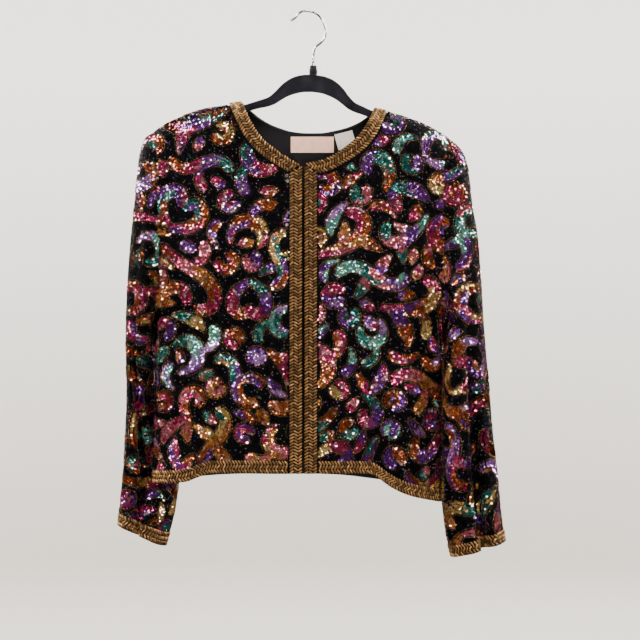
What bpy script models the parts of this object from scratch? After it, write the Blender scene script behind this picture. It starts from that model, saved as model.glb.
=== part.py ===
"""Beaded evening jacket hanging on a flocked clothes hanger with a wire hook.

The jacket is collarless and meets edge to edge at the centre front. Its front faces -Y, and
the wearer's left is +X. The origin is the underside of the hook, where a rod carries it.
All sizes below are in millimetres, and metres are made only when a mesh is written.
"""

import math
from bisect import bisect_right
from collections import Counter
from typing import NamedTuple

import bmesh
import bpy
import numpy as np

MM = 0.001
SMOOTH_ANGLE = 50.0

FRONT = -1
BACK = 1
RIGHT = -1
LEFT = 1
SIDE_NAMES = {RIGHT: "right", LEFT: "left"}

CLOTH = 2.0
SEAM = 0.4
LAY = 0.3

CENTRE_X = -8.0
FRONT_GAP = 1.6
SECTION_ROUNDNESS = 2.6
SHOULDER_DROP = 45.0
UNDERARM_Z = -432.0

TRIM_WIDTH = 17.0
TRIM_THICKNESS = 2.2
NECK_TRIM_LIFT = 1.0
MITRE_DROP = 9.5
FRONT_TRIM_START = 0.05
HEM_TRIM_START = 1.06
HEM_TRIM_END = 0.15
NECK_STATIONS = 9
NECK_BACK_STATIONS = 16
TRIM_STRIPS = 3
NORMAL_STEP = 0.5
BODY_AXIS = (CENTRE_X, 0.0, -420.0)

ARM_ROWS = 12
BODY_ROWS = 7
NECK_ROWS = 8
PANEL_COLUMNS = 12


class Level(NamedTuple):
    """Half widths and depths of the body at a height."""

    z: float
    right: float
    left: float
    front: float
    back: float


BODY = (
    Level(z=-680, right=206, left=189, front=47, back=40),
    Level(z=-640, right=206, left=189, front=49, back=41),
    Level(z=-560, right=205, left=189, front=51, back=42),
    Level(z=-480, right=206, left=190, front=52, back=43),
    Level(z=-432, right=207, left=198, front=52, back=44),
    Level(z=-385, right=230, left=222, front=51, back=44),
    Level(z=-300, right=253, left=247, front=49, back=43),
    Level(z=-215, right=256, left=250, front=43, back=37),
    Level(z=-120, right=260, left=255, front=34, back=28),
)


class Place(NamedTuple):
    """A point of an outline in the front view."""

    x: float
    z: float


SHOULDER_RIDGE = (
    Place(-214, -167.5),
    Place(-207, -161),
    Place(-184, -148.5),
    Place(-154, -136.5),
    Place(-120, -130),
    Place(-93, -126),
    Place(-40, -122),
    Place(40, -124),
    Place(89, -134.2),
    Place(110, -139.0),
    Place(143, -149.5),
    Place(173, -163),
    Place(191, -175),
)
FRONT_NECKLINE = (
    Place(-93, -126),
    Place(-88.5, -135),
    Place(-82.4, -148),
    Place(-72.9, -165.2),
    Place(-61, -180.2),
    Place(-46.8, -192.1),
    Place(-29.3, -204),
    Place(-10, -213.5),
    Place(-3.6, -212.5),
    Place(18.6, -207.1),
    Place(34.4, -199.5),
    Place(52.6, -186.7),
    Place(65.3, -175.4),
    Place(75.6, -161.2),
    Place(84.3, -146),
    Place(89, -134.2),
)
BACK_NECKLINE = (
    Place(-93, -126),
    Place(-86, -131),
    Place(-69.7, -143),
    Place(-55.5, -151),
    Place(-41, -156.5),
    Place(-25, -161),
    Place(-5, -163),
    Place(15, -163),
    Place(32, -160.5),
    Place(50, -156.5),
    Place(64, -151.5),
    Place(80, -142.5),
    Place(89, -134.2),
)
FRONT_HEM = (
    Place(-214, -648),
    Place(-168, -644),
    Place(-150, -637),
    Place(-132, -632),
    Place(-60, -631),
    Place(-8, -632),
    Place(60, -631.5),
    Place(84, -633),
    Place(97, -641),
    Place(110, -650),
    Place(136, -662),
    Place(181, -674),
)
BACK_HEM = (
    Place(-214, -648),
    Place(-120, -641),
    Place(-8, -640),
    Place(100, -648),
    Place(181, -674),
)


class ArmLevel(NamedTuple):
    """Where the armhole seams stand, seen from the front."""

    z: float
    right: float
    left: float


ARM_SEAM = (
    ArmLevel(z=-432, right=-215, left=190),
    ArmLevel(z=-420, right=-212.5, left=188),
    ArmLevel(z=-395, right=-207.5, left=184.3),
    ArmLevel(z=-345, right=-204.3, left=181.6),
    ArmLevel(z=-260, right=-204, left=181.5),
    ArmLevel(z=-215, right=-206, left=183),
    ArmLevel(z=-174, right=-210.5, left=190),
    ArmLevel(z=-164, right=-213, left=192),
)


class Fold(NamedTuple):
    """A soft lengthwise fold of the body: outward at +depth, inward at -depth."""

    face: int
    x: float
    lean: float
    width: float
    depth: float
    top: float


FOLD_GROWTH = 200.0
FOLDS = (
    Fold(face=FRONT, x=90, lean=-0.02, width=14, depth=-7, top=-430),
    Fold(face=FRONT, x=128, lean=0.03, width=24, depth=8, top=-330),
    Fold(face=FRONT, x=-140, lean=0.03, width=16, depth=-6, top=-440),
    Fold(face=FRONT, x=-176, lean=-0.02, width=22, depth=5, top=-360),
    Fold(face=FRONT, x=-70, lean=0.05, width=26, depth=3.5, top=-400),
    Fold(face=BACK, x=-110, lean=0.04, width=30, depth=7, top=-330),
    Fold(face=BACK, x=-40, lean=-0.02, width=28, depth=-5, top=-420),
    Fold(face=BACK, x=60, lean=-0.04, width=30, depth=6, top=-350),
)


class Ring(NamedTuple):
    """A section of a sleeve, from its outer point to its inner point, with its depths."""

    out_x: float
    out_z: float
    in_x: float
    in_z: float
    y: float
    front: float
    back: float
    shear: float
    crease: float


SLEEVES = {
    RIGHT: (
        Ring(-213.5, -166, -216.0, -432.5, 0, 42, 37, 0, 0),
        Ring(-224.0, -173, -217.0, -435, 0, 44, 39, 0, 0),
        Ring(-231.0, -190, -217.6, -438, 0, 47, 41, 0, 0),
        Ring(-235.5, -218, -218.2, -442, 0, 49, 43, 0, 0),
        Ring(-239.5, -262, -218.6, -447, 1, 50, 45, 0, 0),
        Ring(-244.0, -315, -218.8, -456, 3, 51, 46, 2, 0),
        Ring(-248.5, -380, -218.8, -470, 6, 51, 47, 4, 2),
        Ring(-250.5, -450, -218.6, -500, 9, 49, 46, 6, 5),
        Ring(-250.5, -520, -213.0, -548, 20, 42, 40, 16, 8),
        Ring(-254.0, -585, -200.0, -606, 32, 33, 33, 24, 9),
        Ring(-257.5, -640, -187.0, -652, 37, 25, 25, 27, 9),
        Ring(-261.5, -674, -193.0, -702, 31, 26, 25, 17, 10),
        Ring(-264.0, -708, -202.5, -739, 22, 27, 25, 8, 11),
    ),
    LEFT: (
        Ring(191.5, -175, 192.5, -432.5, 0, 42, 37, 0, 0),
        Ring(203.0, -184, 193.5, -436, 0, 44, 39, 0, 0),
        Ring(212.0, -197, 193.0, -440, 0, 47, 41, 0, 0),
        Ring(218.0, -220, 191.5, -446, -1, 49, 43, 0, 0),
        Ring(223.0, -265, 190.0, -453, -2, 50, 45, -1, 0),
        Ring(230.5, -310, 188.0, -462, -3, 51, 46, -2, 0),
        Ring(235.0, -375, 185.5, -476, -5, 51, 47, -4, 2),
        Ring(239.5, -445, 184.3, -500, -7, 50, 47, -6, 6),
        Ring(246.0, -515, 183.6, -545, -9, 47, 45, -8, 10),
        Ring(251.0, -580, 183.4, -597, -11, 42, 41, -9, 12),
        Ring(257.5, -635, 183.4, -648, -12, 37, 36, -9, 13),
        Ring(263.0, -694, 189.0, -712, -10, 32, 31, -7, 13),
        Ring(268.0, -728, 197.0, -748, -8, 29, 28, -5, 13),
    ),
}
RING_STEPS = (0, 0.6, 1.3, 2, 3, 4, 5, 6, 7, 7.5, 8, 8.5, 9, 9.5, 10, 10.5, 11, 11.5, 12)
SECTION_SQUARE = 0.85
CREASE_PLACE = 5
CAP_RINGS = 7.0

LINING_LIFT = 0.9
LINING_THICKNESS = 1.0
LINING_TOP_DROP = 1.0
LINING_BOTTOM = -300.0
LINING_COLUMNS = 12
LINING_ROWS = 8
LINING_EDGES = (-78.0, 73.0)

LABEL_LIFT = 0.8
LABEL_THICKNESS = 0.6
LABEL_COLUMNS = 6
LABEL_ROWS = 2
NECK_LABEL = {"x": 3.7, "z": -179.0, "width": 60.0, "height": 22.0, "turn": 0.0}
CARE_TAG = {"x": 50.0, "z": -172.5, "width": 26.0, "height": 22.5, "turn": 15.0}

HANGER_TOP = (5.2, -86.0)
HANGER_TILT = 3.6
HANGER_THICKNESS = 5.0
HANGER_CHAMFER = 1.2
HOOK_BEVEL_RESOLUTION = 2


class Arm(NamedTuple):
    """Upper and lower edge of the hanger at a distance from its middle."""

    reach: float
    top: float
    bottom: float


HANGER_ARM = (
    Arm(0, 0, -24),
    Arm(12, -0.8, -25),
    Arm(24, -3.8, -28.2),
    Arm(34, -9.2, -32.6),
    Arm(43, -17, -38.6),
    Arm(51, -26.5, -44.2),
    Arm(60, -34.8, -48),
    Arm(72, -39.8, -51.2),
    Arm(88, -46, -56.8),
    Arm(114, -56, -66.8),
    Arm(140, -66.5, -77.2),
    Arm(165, -78, -88.5),
    Arm(185, -89, -99.5),
    Arm(196, -97, -105),
    Arm(200, -101, -104.5),
)

WIRE_RADIUS = 1.65
HOOK_ROUTE = (
    Place(-26.0, -11.2),
    Place(-22.2, -9.4),
    Place(-18.6, -6.4),
    Place(-15.4, -1.9),
    Place(-10.5, 1.0),
    Place(-4.6, 2.0),
    Place(0.0, 1.65),
    Place(6.6, -0.2),
    Place(13.6, -5.0),
    Place(19.0, -13.2),
    Place(22.4, -24.6),
    Place(20.8, -34.6),
    Place(15.2, -42.4),
    Place(8.6, -47.6),
    Place(6.0, -54.0),
    Place(5.2, -63.0),
    Place(5.2, -79.2),
)
COLLAR_TOP = -73.5
COLLAR_SHOULDER = -79.5
COLLAR_SLOPE = 1.0
COLLAR_NECK_RADIUS = 4.8
COLLAR_FOOT_RADIUS = 5.6
COLLAR_HOLE_RADIUS = 1.95
COLLAR_HOLE_DEPTH = 6.0
COLLAR_SIDES = 16


def soft(knots, values, at):
    """Value at a place on a smooth curve through the knots that never overshoots them."""
    if at <= knots[0]:
        return values[0]
    if at >= knots[-1]:
        return values[-1]
    k = bisect_right(knots, at) - 1
    last = len(knots) - 2
    steps = [
        (values[n + 1] - values[n]) / (knots[n + 1] - knots[n])
        for n in (max(k - 1, 0), k, min(k + 1, last))
    ]

    def slope(a, b):
        return 0.0 if a * b <= 0 else 2 * a * b / (a + b)

    before = slope(steps[0], steps[1])
    after = slope(steps[1], steps[2])
    run = knots[k + 1] - knots[k]
    t = (at - knots[k]) / run
    return (
        values[k] * (1 + 2 * t) * (1 - t) ** 2
        + values[k + 1] * t * t * (3 - 2 * t)
        + run * before * t * (1 - t) ** 2
        - run * after * t * t * (1 - t)
    )


def read_table(rows, key, name, at):
    """Value of one named column of a table, between its rows."""
    return soft([getattr(row, key) for row in rows], [getattr(row, name) for row in rows], at)


def ease(t):
    """Ramp from 0 to 1 with level ends."""
    t = min(max(t, 0.0), 1.0)
    return t * t * (3 - 2 * t)


def ridge(x):
    """Height of the shoulder line, seen from the front."""
    return read_table(SHOULDER_RIDGE, "x", "z", x)


def half_width(side, z):
    """Half width of the body's section on one side."""
    return read_table(BODY, "z", SIDE_NAMES[side], z)


def fold_depth(face, x, z):
    """How far the soft folds push the cloth out at a place."""
    total = 0.0
    for fold in FOLDS:
        if fold.face != face or z > fold.top:
            continue
        middle = fold.x + fold.lean * (fold.top - z)
        grown = ease((fold.top - z) / (fold.top - UNDERARM_Z + FOLD_GROWTH))
        total += fold.depth * grown * math.exp(-(((x - middle) / fold.width) ** 2))
    return total


def cloth_y(face, x, z):
    """Depth of the body's outer surface at a place of the front view."""
    side = LEFT if x > CENTRE_X else RIGHT
    across = min(abs(x - CENTRE_X) / half_width(side, z), 1.0)
    flat = (1 - across**SECTION_ROUNDNESS) ** (1 / SECTION_ROUNDNESS)
    drop = min(max((ridge(x) - z) / SHOULDER_DROP, 0.0), 1.0)
    cap = math.sqrt(1 - (1 - drop) ** 2)
    depth = read_table(BODY, "z", "front" if face == FRONT else "back", z)
    fold = fold_depth(face, x, z) * (1 - across**8)
    return face * (SEAM + (depth * flat + fold) * cap)


def edge_z(table, x):
    """Height of a neckline or hem at a place across the body."""
    return read_table(table, "x", "z", x)


def neck_point_x(side):
    """Where the neckline meets the shoulder line."""
    return FRONT_NECKLINE[-1].x if side == LEFT else FRONT_NECKLINE[0].x


def turn_of(side, half, x):
    """Angle round the body's section of a place across it."""
    share = min(abs(x - CENTRE_X) / half, 1.0)
    return math.asin(share ** (SECTION_ROUNDNESS / 2))


def neck_places(face, side, middle_x):
    """Places down one half of a neckline, from the shoulder line to the middle."""
    table = FRONT_NECKLINE if face == FRONT else BACK_NECKLINE
    start = neck_point_x(side)
    places = []
    for n in range(NECK_ROWS + 1):
        share = 1 - math.cos(math.pi / 2 * n / NECK_ROWS)
        x = start + (middle_x - start) * share
        places.append(Place(x, edge_z(table, x)))
    return places


def middle_places(face, side, middle_x):
    """Places down a panel's inner edge: its neckline, then the middle of the body."""
    places = neck_places(face, side, middle_x)
    hem = edge_z(FRONT_HEM if face == FRONT else BACK_HEM, middle_x)
    trim_top = hem + TRIM_WIDTH
    steps = ARM_ROWS + BODY_ROWS - NECK_ROWS
    top = places[-1].z
    places += [Place(middle_x, top + (trim_top - top) * n / steps) for n in range(1, steps + 1)]
    return [*places, Place(middle_x, hem)]


def outer_places(face, side):
    """Places down a panel's outer edge: its armhole, then its side seam."""
    hem_table = FRONT_HEM if face == FRONT else BACK_HEM
    tip = SHOULDER_RIDGE[0] if side == RIGHT else SHOULDER_RIDGE[-1]
    places = [tip]
    for n in range(1, ARM_ROWS):
        z = tip.z + (UNDERARM_Z - tip.z) * (1 - math.cos(math.pi * n / ARM_ROWS)) / 2
        places.append(Place(read_table(ARM_SEAM, "z", SIDE_NAMES[side], z), z))
    hem = edge_z(hem_table, CENTRE_X + side * half_width(side, hem_table[0].z))
    trim_top = hem + TRIM_WIDTH
    for n in range(BODY_ROWS + 1):
        z = UNDERARM_Z + (trim_top - UNDERARM_Z) * n / BODY_ROWS
        places.append(Place(CENTRE_X + side * half_width(side, z), z))
    return [*places, Place(CENTRE_X + side * half_width(side, hem), hem)]


def share_down(face, place):
    """How far down from the shoulder line to the hem a place is, from 0 to 1."""
    top = ridge(place.x)
    hem = edge_z(FRONT_HEM if face == FRONT else BACK_HEM, place.x)
    return (top - place.z) / (top - hem)


def half_panel(face, side, middle_x):
    """Grid of outer points of one side of the front or back, from its middle to its edge."""
    hem_table = FRONT_HEM if face == FRONT else BACK_HEM
    grid = []
    for row, (start, end) in enumerate(
        zip(middle_places(face, side, middle_x), outer_places(face, side))
    ):
        half = half_width(side, end.z)
        second_x = start.x + side * TRIM_WIDTH
        first_turn = turn_of(side, half, second_x)
        last_turn = turn_of(side, half, end.x)
        run = abs(end.x - start.x)
        down = (share_down(face, start), share_down(face, end))
        points = []
        for column in range(PANEL_COLUMNS + 1):
            turn = first_turn + (last_turn - first_turn) * (column - 1) / (PANEL_COLUMNS - 1)
            x = CENTRE_X + side * half * math.sin(max(turn, 0)) ** (2 / SECTION_ROUNDNESS)
            if column == 0:
                x = start.x
            share = down[0] + (down[1] - down[0]) * abs(x - start.x) / run
            top = ridge(x)
            z = top + (edge_z(hem_table, x) - top) * share
            points.append((x, cloth_y(face, x, z), z))
        if row == 0 or row >= ARM_ROWS:
            points[-1] = (end.x, face * SEAM, end.z)
        grid.append(points)
    return np.array(grid)


def grid_normals(grid, closed=False):
    """Unit normals of a grid of points, by central differences."""
    down = np.gradient(grid, axis=0)
    if closed:
        across = (np.roll(grid, -1, axis=1) - np.roll(grid, 1, axis=1)) / 2
    else:
        across = np.gradient(grid, axis=1)
    return unit(np.cross(across, down))


def unit(vectors):
    """Vectors of a grid at unit length."""
    return vectors / np.linalg.norm(vectors, axis=-1, keepdims=True)


def panel_normals(grid):
    """Outward normals of a half panel, with no lean across the shoulder and side seams."""
    normals = grid_normals(grid)
    if np.sum(normals * (grid - np.array(BODY_AXIS))) < 0:
        normals = -normals
    normals[0, :, 1] = 0.0
    normals[ARM_ROWS:, -1, 1] = 0.0
    return unit(normals)


def wall_object(name, patches, material):
    """Closed wall from patches, each an outer and an inner grid of points in millimetres.

    Patches are joined where their outer points meet, and the open edges are closed by rims.
    """
    mesh = bmesh.new()
    pairs = {}
    edge_uses = Counter()
    edge_order = {}
    for outer, inner in patches:
        rows, columns = outer.shape[:2]
        keys = [[tuple(np.round(outer[i, j], 4)) for j in range(columns)] for i in range(rows)]
        for i in range(rows):
            for j in range(columns):
                if keys[i][j] not in pairs:
                    pairs[keys[i][j]] = (
                        mesh.verts.new(tuple(outer[i, j] * MM)),
                        mesh.verts.new(tuple(inner[i, j] * MM)),
                    )
        for i in range(rows - 1):
            for j in range(columns - 1):
                corners = (keys[i][j], keys[i][j + 1], keys[i + 1][j + 1], keys[i + 1][j])
                for skin in (0, 1):
                    mesh.faces.new([pairs[key][skin] for key in corners])
                for a, b in zip(corners, corners[1:] + corners[:1]):
                    edge_uses[frozenset((a, b))] += 1
                    edge_order[frozenset((a, b))] = (a, b)
    for edge, uses in edge_uses.items():
        if uses == 1:
            a, b = edge_order[edge]
            mesh.faces.new((pairs[a][0], pairs[b][0], pairs[b][1], pairs[a][1]))
    bmesh.ops.recalc_face_normals(mesh, faces=mesh.faces)
    return mesh_object(name, mesh, material)


def mesh_object(name, mesh, material):
    """Object made from a bmesh, shaded smooth, with its material."""
    data = bpy.data.meshes.new(name)
    mesh.to_mesh(data)
    mesh.free()
    data.shade_smooth()
    data.set_sharp_from_angle(angle=math.radians(SMOOTH_ANGLE))
    data.materials.append(material)
    item = bpy.data.objects.new(name, data)
    bpy.context.scene.collection.objects.link(item)
    return item


def finish(name, colour, roughness, metallic=0.0):
    """Plain material of a sub-part."""
    material = bpy.data.materials.new(name)
    material.use_nodes = True
    shader = material.node_tree.nodes["Principled BSDF"]
    shader.inputs["Base Color"].default_value = (*colour, 1.0)
    shader.inputs["Roughness"].default_value = roughness
    shader.inputs["Metallic"].default_value = metallic
    return material


def front_panel(side):
    """Outer points and normals of one front."""
    grid = half_panel(FRONT, side, CENTRE_X + side * FRONT_GAP)
    return grid, panel_normals(grid)


def back_halves():
    """Outer points and normals of the back's two halves, which share the centre line."""
    grids = {side: half_panel(BACK, side, CENTRE_X) for side in (RIGHT, LEFT)}
    normals = {side: panel_normals(grid) for side, grid in grids.items()}
    shared = unit(normals[RIGHT][NECK_ROWS:, 0] + normals[LEFT][NECK_ROWS:, 0])
    for side in (RIGHT, LEFT):
        normals[side][NECK_ROWS:, 0] = shared
    return grids, normals


def ring_value(side, name, step):
    """Value of a sleeve table's column between its rings."""
    rows = SLEEVES[side]
    return soft(list(range(len(rows))), [getattr(row, name) for row in rows], step)


def sleeve_ring(side, step):
    """Points round a sleeve's section, from its outer point over the front to the inner one."""
    value = {name: ring_value(side, name, step) for name in Ring._fields}
    out = np.array((value["out_x"], value["y"], value["out_z"]))
    into = np.array((value["in_x"], value["y"], value["in_z"]))
    centre = (out + into) / 2
    reach = (out - into) / 2
    points = []
    for k in range(2 * ARM_ROWS):
        angle = math.pi * k / ARM_ROWS
        wave = math.sin(angle)
        depth = value["front"] if wave > 0 else value["back"]
        forward = math.copysign(abs(wave) ** SECTION_SQUARE, wave) * depth
        if k == CREASE_PLACE:
            forward -= value["crease"]
        forward += value["shear"] * math.cos(angle)
        points.append(centre + reach * math.cos(angle) + np.array((0.0, -forward, 0.0)))
    return np.array(points)


def armhole(side, front, back):
    """Loop of points along the armhole, set off from the panels' edges by a seam's gap."""
    loop = [front[row, -1] for row in range(ARM_ROWS + 1)]
    loop += [back[row, -1] for row in range(ARM_ROWS - 1, 0, -1)]
    loop = np.array(loop)
    loop[0, 1] = 0.0
    loop[ARM_ROWS, 1] = 0.0
    loop[:, 0] += side * 2 * SEAM
    loop[ARM_ROWS, 0] += side * SEAM
    return loop


def sleeve(side, front, back):
    """Outer points and normals of a sleeve, from the armhole to the cuff."""
    loop = armhole(side, front, back)
    lead = loop - sleeve_ring(side, 0)
    rings = []
    for step in RING_STEPS:
        share = 1 - ease(step / CAP_RINGS)
        rings.append(sleeve_ring(side, step) + lead * share)
    grid = np.array(rings)
    normals = grid_normals(grid, closed=True)
    middle = grid.mean(axis=1, keepdims=True)
    if np.sum(normals * (grid - middle)) < 0:
        normals = -normals
    return grid, normals


def tube(grid):
    """Grid of a tube's points, with its first column repeated to close it."""
    return np.concatenate((grid, grid[:, :1]), axis=1)


def cloth_wall(name, patches, material):
    """Cloth of the wall's thickness, inward from its outer points."""
    walls = [(grid, grid - normals * CLOTH) for grid, normals in patches]
    return wall_object(name, walls, material)


def trim_wall(name, grid, normals, material):
    """Braid laid on a panel's own points, moved out."""
    low = grid + normals * LAY
    return wall_object(name, [(low + normals * TRIM_THICKNESS, low)], material)


def between(grid, row, column):
    """Point of a grid between its rows and columns."""
    i = min(int(row), grid.shape[0] - 2)
    j = min(int(column), grid.shape[1] - 2)
    a = row - i
    b = column - j
    upper = grid[i, j] * (1 - b) + grid[i, j + 1] * b
    lower = grid[i + 1, j] * (1 - b) + grid[i + 1, j + 1] * b
    return upper * (1 - a) + lower * a


def patch_between(grid, rows, columns):
    """Points of a grid at rows and columns that may lie between its own."""
    return np.array([[between(grid, row, column) for column in columns] for row in rows])


def front_trim(side, grid, normals, material):
    """Braid down one front edge, with its top cut to a mitre along the panel's own row."""
    rows = (NECK_ROWS + FRONT_TRIM_START, *range(NECK_ROWS + 1, grid.shape[0]))
    columns = (0.0, 0.5, 1.0)
    shape = patch_between(grid, rows, columns)
    turned = patch_between(normals, rows, columns)
    return trim_wall(f"front_trim_{SIDE_NAMES[side]}", shape, turned, material)


def hem_trim(name, grid, normals, first, last, material):
    """Braid along the bottom of a panel, between two of its columns."""
    columns = [first, *range(math.ceil(first + 0.01), math.floor(last - 0.01) + 1), last]
    rows = (grid.shape[0] - 2, grid.shape[0] - 1)
    shape = patch_between(grid, rows, columns)
    turned = patch_between(normals, rows, columns)
    return trim_wall(name, shape, turned, material)


def cap_length(x, face):
    """Length of the rounded top of the cloth, from the shoulder line to its upright part."""
    level = ridge(x) - SHOULDER_DROP
    depth = abs(cloth_y(face, x, level))
    return math.pi / 2 * math.sqrt((SHOULDER_DROP**2 + depth**2) / 2)


def shell_point(x, down):
    """Point of the body's surface, by its way down from the shoulder line: + front, - back."""
    face = FRONT if down >= 0 else BACK
    cap = cap_length(x, face)
    way = abs(down)
    if way < cap:
        z = ridge(x) - SHOULDER_DROP * (1 - math.cos(math.pi / 2 * way / cap))
    else:
        z = ridge(x) - SHOULDER_DROP - (way - cap)
    return np.array((x, cloth_y(face, x, z), z))


def way_down(x, z, face):
    """Signed way down the surface from the shoulder line to a height."""
    cap = cap_length(x, face)
    drop = ridge(x) - z
    if drop < SHOULDER_DROP:
        way = cap * math.acos(1 - max(drop, 0.0) / SHOULDER_DROP) * 2 / math.pi
    else:
        way = cap + drop - SHOULDER_DROP
    return way if face == FRONT else -way


def shell_normal(x, down):
    """Outward normal of the body's surface."""
    across = shell_point(x + NORMAL_STEP, down) - shell_point(x - NORMAL_STEP, down)
    along = shell_point(x, down + NORMAL_STEP) - shell_point(x, down - NORMAL_STEP)
    normal = np.cross(along, across)
    normal /= np.linalg.norm(normal)
    point = shell_point(x, down)
    away = np.array((0.0, point[1], point[2] - ridge(x) + SHOULDER_DROP))
    return normal if np.dot(normal, away) > 0 else -normal


def neck_path():
    """Neckline from one centre-front edge round the back to the other, as (x, way down)."""

    def front_part(side):
        ends = (CENTRE_X + side * FRONT_GAP, neck_point_x(side))
        places = []
        for n in range(NECK_STATIONS):
            share = math.sin(math.pi / 2 * n / NECK_STATIONS)
            x = ends[0] + (ends[1] - ends[0]) * share
            places.append((x, way_down(x, edge_z(FRONT_NECKLINE, x), FRONT)))
        return places

    back_part = []
    for n in range(NECK_BACK_STATIONS + 1):
        share = (1 - math.cos(math.pi * n / NECK_BACK_STATIONS)) / 2
        x = neck_point_x(LEFT) + (neck_point_x(RIGHT) - neck_point_x(LEFT)) * share
        back_part.append((x, way_down(x, edge_z(BACK_NECKLINE, x), BACK)))
    back_part[0] = (neck_point_x(LEFT), 0.0)
    back_part[-1] = (neck_point_x(RIGHT), 0.0)
    return np.array([*front_part(LEFT), *back_part, *reversed(front_part(RIGHT))])


def neck_trim(material):
    """Braid round the neckline, mitred at the centre front."""
    path = neck_path()
    along = np.gradient(path, axis=0)
    outward = np.stack((-along[:, 1], along[:, 0]), axis=1)
    centre = np.array((CENTRE_X, 0.0))
    outward /= np.linalg.norm(outward, axis=1, keepdims=True)
    if np.sum(outward * (path - centre)) < 0:
        outward = -outward
    outward *= TRIM_WIDTH
    for end, side in ((0, LEFT), (-1, RIGHT)):
        outward[end] = (side * TRIM_WIDTH, MITRE_DROP)
    low = []
    normals = []
    for strip in range(TRIM_STRIPS):
        places = path + outward * strip / (TRIM_STRIPS - 1)
        low.append([shell_point(*place) for place in places])
        normals.append([shell_normal(*place) for place in places])
    normals = np.array(normals)
    low = np.array(low) + normals * NECK_TRIM_LIFT
    return wall_object("neck_trim", [(low + normals * TRIM_THICKNESS, low)], material)


def inside_patch(name, places, lift, thickness, material):
    """Thin piece inside the back, from a grid of (x, z) places, moved in from the cloth."""
    near = []
    far = []
    for row in places:
        near_row = []
        far_row = []
        for x, z in row:
            down = way_down(x, z, BACK)
            point = shell_point(x, down)
            normal = shell_normal(x, down)
            near_row.append(point - normal * (CLOTH + lift))
            far_row.append(point - normal * (CLOTH + lift + thickness))
        near.append(near_row)
        far.append(far_row)
    return wall_object(name, [(np.array(near), np.array(far))], material)


def back_lining(material):
    """Lining seen inside the back neck."""
    left_x, right_x = LINING_EDGES
    places = []
    for row in range(LINING_ROWS + 1):
        share = row / LINING_ROWS
        line = []
        for column in range(LINING_COLUMNS + 1):
            x = left_x + (right_x - left_x) * column / LINING_COLUMNS
            top = edge_z(BACK_NECKLINE, x) - LINING_TOP_DROP
            line.append((x, top + (LINING_BOTTOM - top) * share))
        places.append(line)
    return inside_patch("back_neck_lining", places, LINING_LIFT, LINING_THICKNESS, material)


def label(name, size, material):
    """Woven label or care tag sewn inside the back neck, blank."""
    turn = math.radians(size["turn"])
    places = []
    for row in range(LABEL_ROWS + 1):
        line = []
        for column in range(LABEL_COLUMNS + 1):
            a = size["width"] * (column / LABEL_COLUMNS - 0.5)
            b = size["height"] * (0.5 - row / LABEL_ROWS)
            x = size["x"] + a * math.cos(turn) - b * math.sin(turn)
            z = size["z"] + a * math.sin(turn) + b * math.cos(turn)
            line.append((x, z))
        places.append(line)
    lift = LINING_LIFT + LINING_THICKNESS + LABEL_LIFT
    return inside_patch(name, places, lift, LABEL_THICKNESS, material)


def hanger(material):
    """Flocked hanger: one bar of chamfered section that arches over its middle."""
    half = HANGER_THICKNESS / 2
    rows = [Arm(-arm.reach, arm.top, arm.bottom) for arm in reversed(HANGER_ARM[1:])]
    rows += HANGER_ARM
    mesh = bmesh.new()
    rings = []
    tilt = math.radians(-HANGER_TILT)
    for row in rows:
        cut = min(HANGER_CHAMFER, (row.top - row.bottom) / 3)
        section = (
            (half, row.top - cut),
            (half - cut, row.top),
            (cut - half, row.top),
            (-half, row.top - cut),
            (-half, row.bottom + cut),
            (cut - half, row.bottom),
            (half - cut, row.bottom),
            (half, row.bottom + cut),
        )
        ring = []
        for y, z in section:
            x = HANGER_TOP[0] + row.reach * math.cos(tilt) - z * math.sin(tilt)
            height = HANGER_TOP[1] + row.reach * math.sin(tilt) + z * math.cos(tilt)
            ring.append(mesh.verts.new((x * MM, y * MM, height * MM)))
        rings.append(ring)
    for ring, following in zip(rings, rings[1:]):
        for k in range(len(ring)):
            n = (k + 1) % len(ring)
            mesh.faces.new((ring[k], ring[n], following[n], following[k]))
    mesh.faces.new(rings[0])
    mesh.faces.new(rings[-1])
    bmesh.ops.recalc_face_normals(mesh, faces=mesh.faces)
    return mesh_object("hanger", mesh, material)


def hanger_hook(material):
    """Wire hook, which a rod or wall hook carries at its underside."""
    curve = bpy.data.curves.new("hanger_hook", "CURVE")
    curve.dimensions = "3D"
    curve.bevel_depth = WIRE_RADIUS * MM
    curve.bevel_resolution = HOOK_BEVEL_RESOLUTION
    curve.use_fill_caps = True
    knots = list(range(len(HOOK_ROUTE)))
    steps = [n / 2 for n in range(2 * len(HOOK_ROUTE) - 1)]
    line = curve.splines.new("POLY")
    line.points.add(len(steps) - 1)
    for point, step in zip(line.points, steps):
        x = catmull([place.x for place in HOOK_ROUTE], step)
        z = catmull([place.z for place in HOOK_ROUTE], step)
        point.co = (x * MM, 0.0, z * MM, 1.0)
    curve.materials.append(material)
    item = bpy.data.objects.new("hanger_hook", curve)
    bpy.context.scene.collection.objects.link(item)
    return item


def catmull(values, at):
    """Value on a round curve through evenly numbered points."""
    k = min(int(at), len(values) - 2)
    t = at - k
    p = [values[min(max(k + n, 0), len(values) - 1)] for n in (-1, 0, 1, 2)]
    return 0.5 * (
        2 * p[1]
        + (p[2] - p[0]) * t
        + (2 * p[0] - 5 * p[1] + 4 * p[2] - p[3]) * t * t
        + (3 * p[1] - p[0] - 3 * p[2] + p[3]) * t**3
    )


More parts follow.
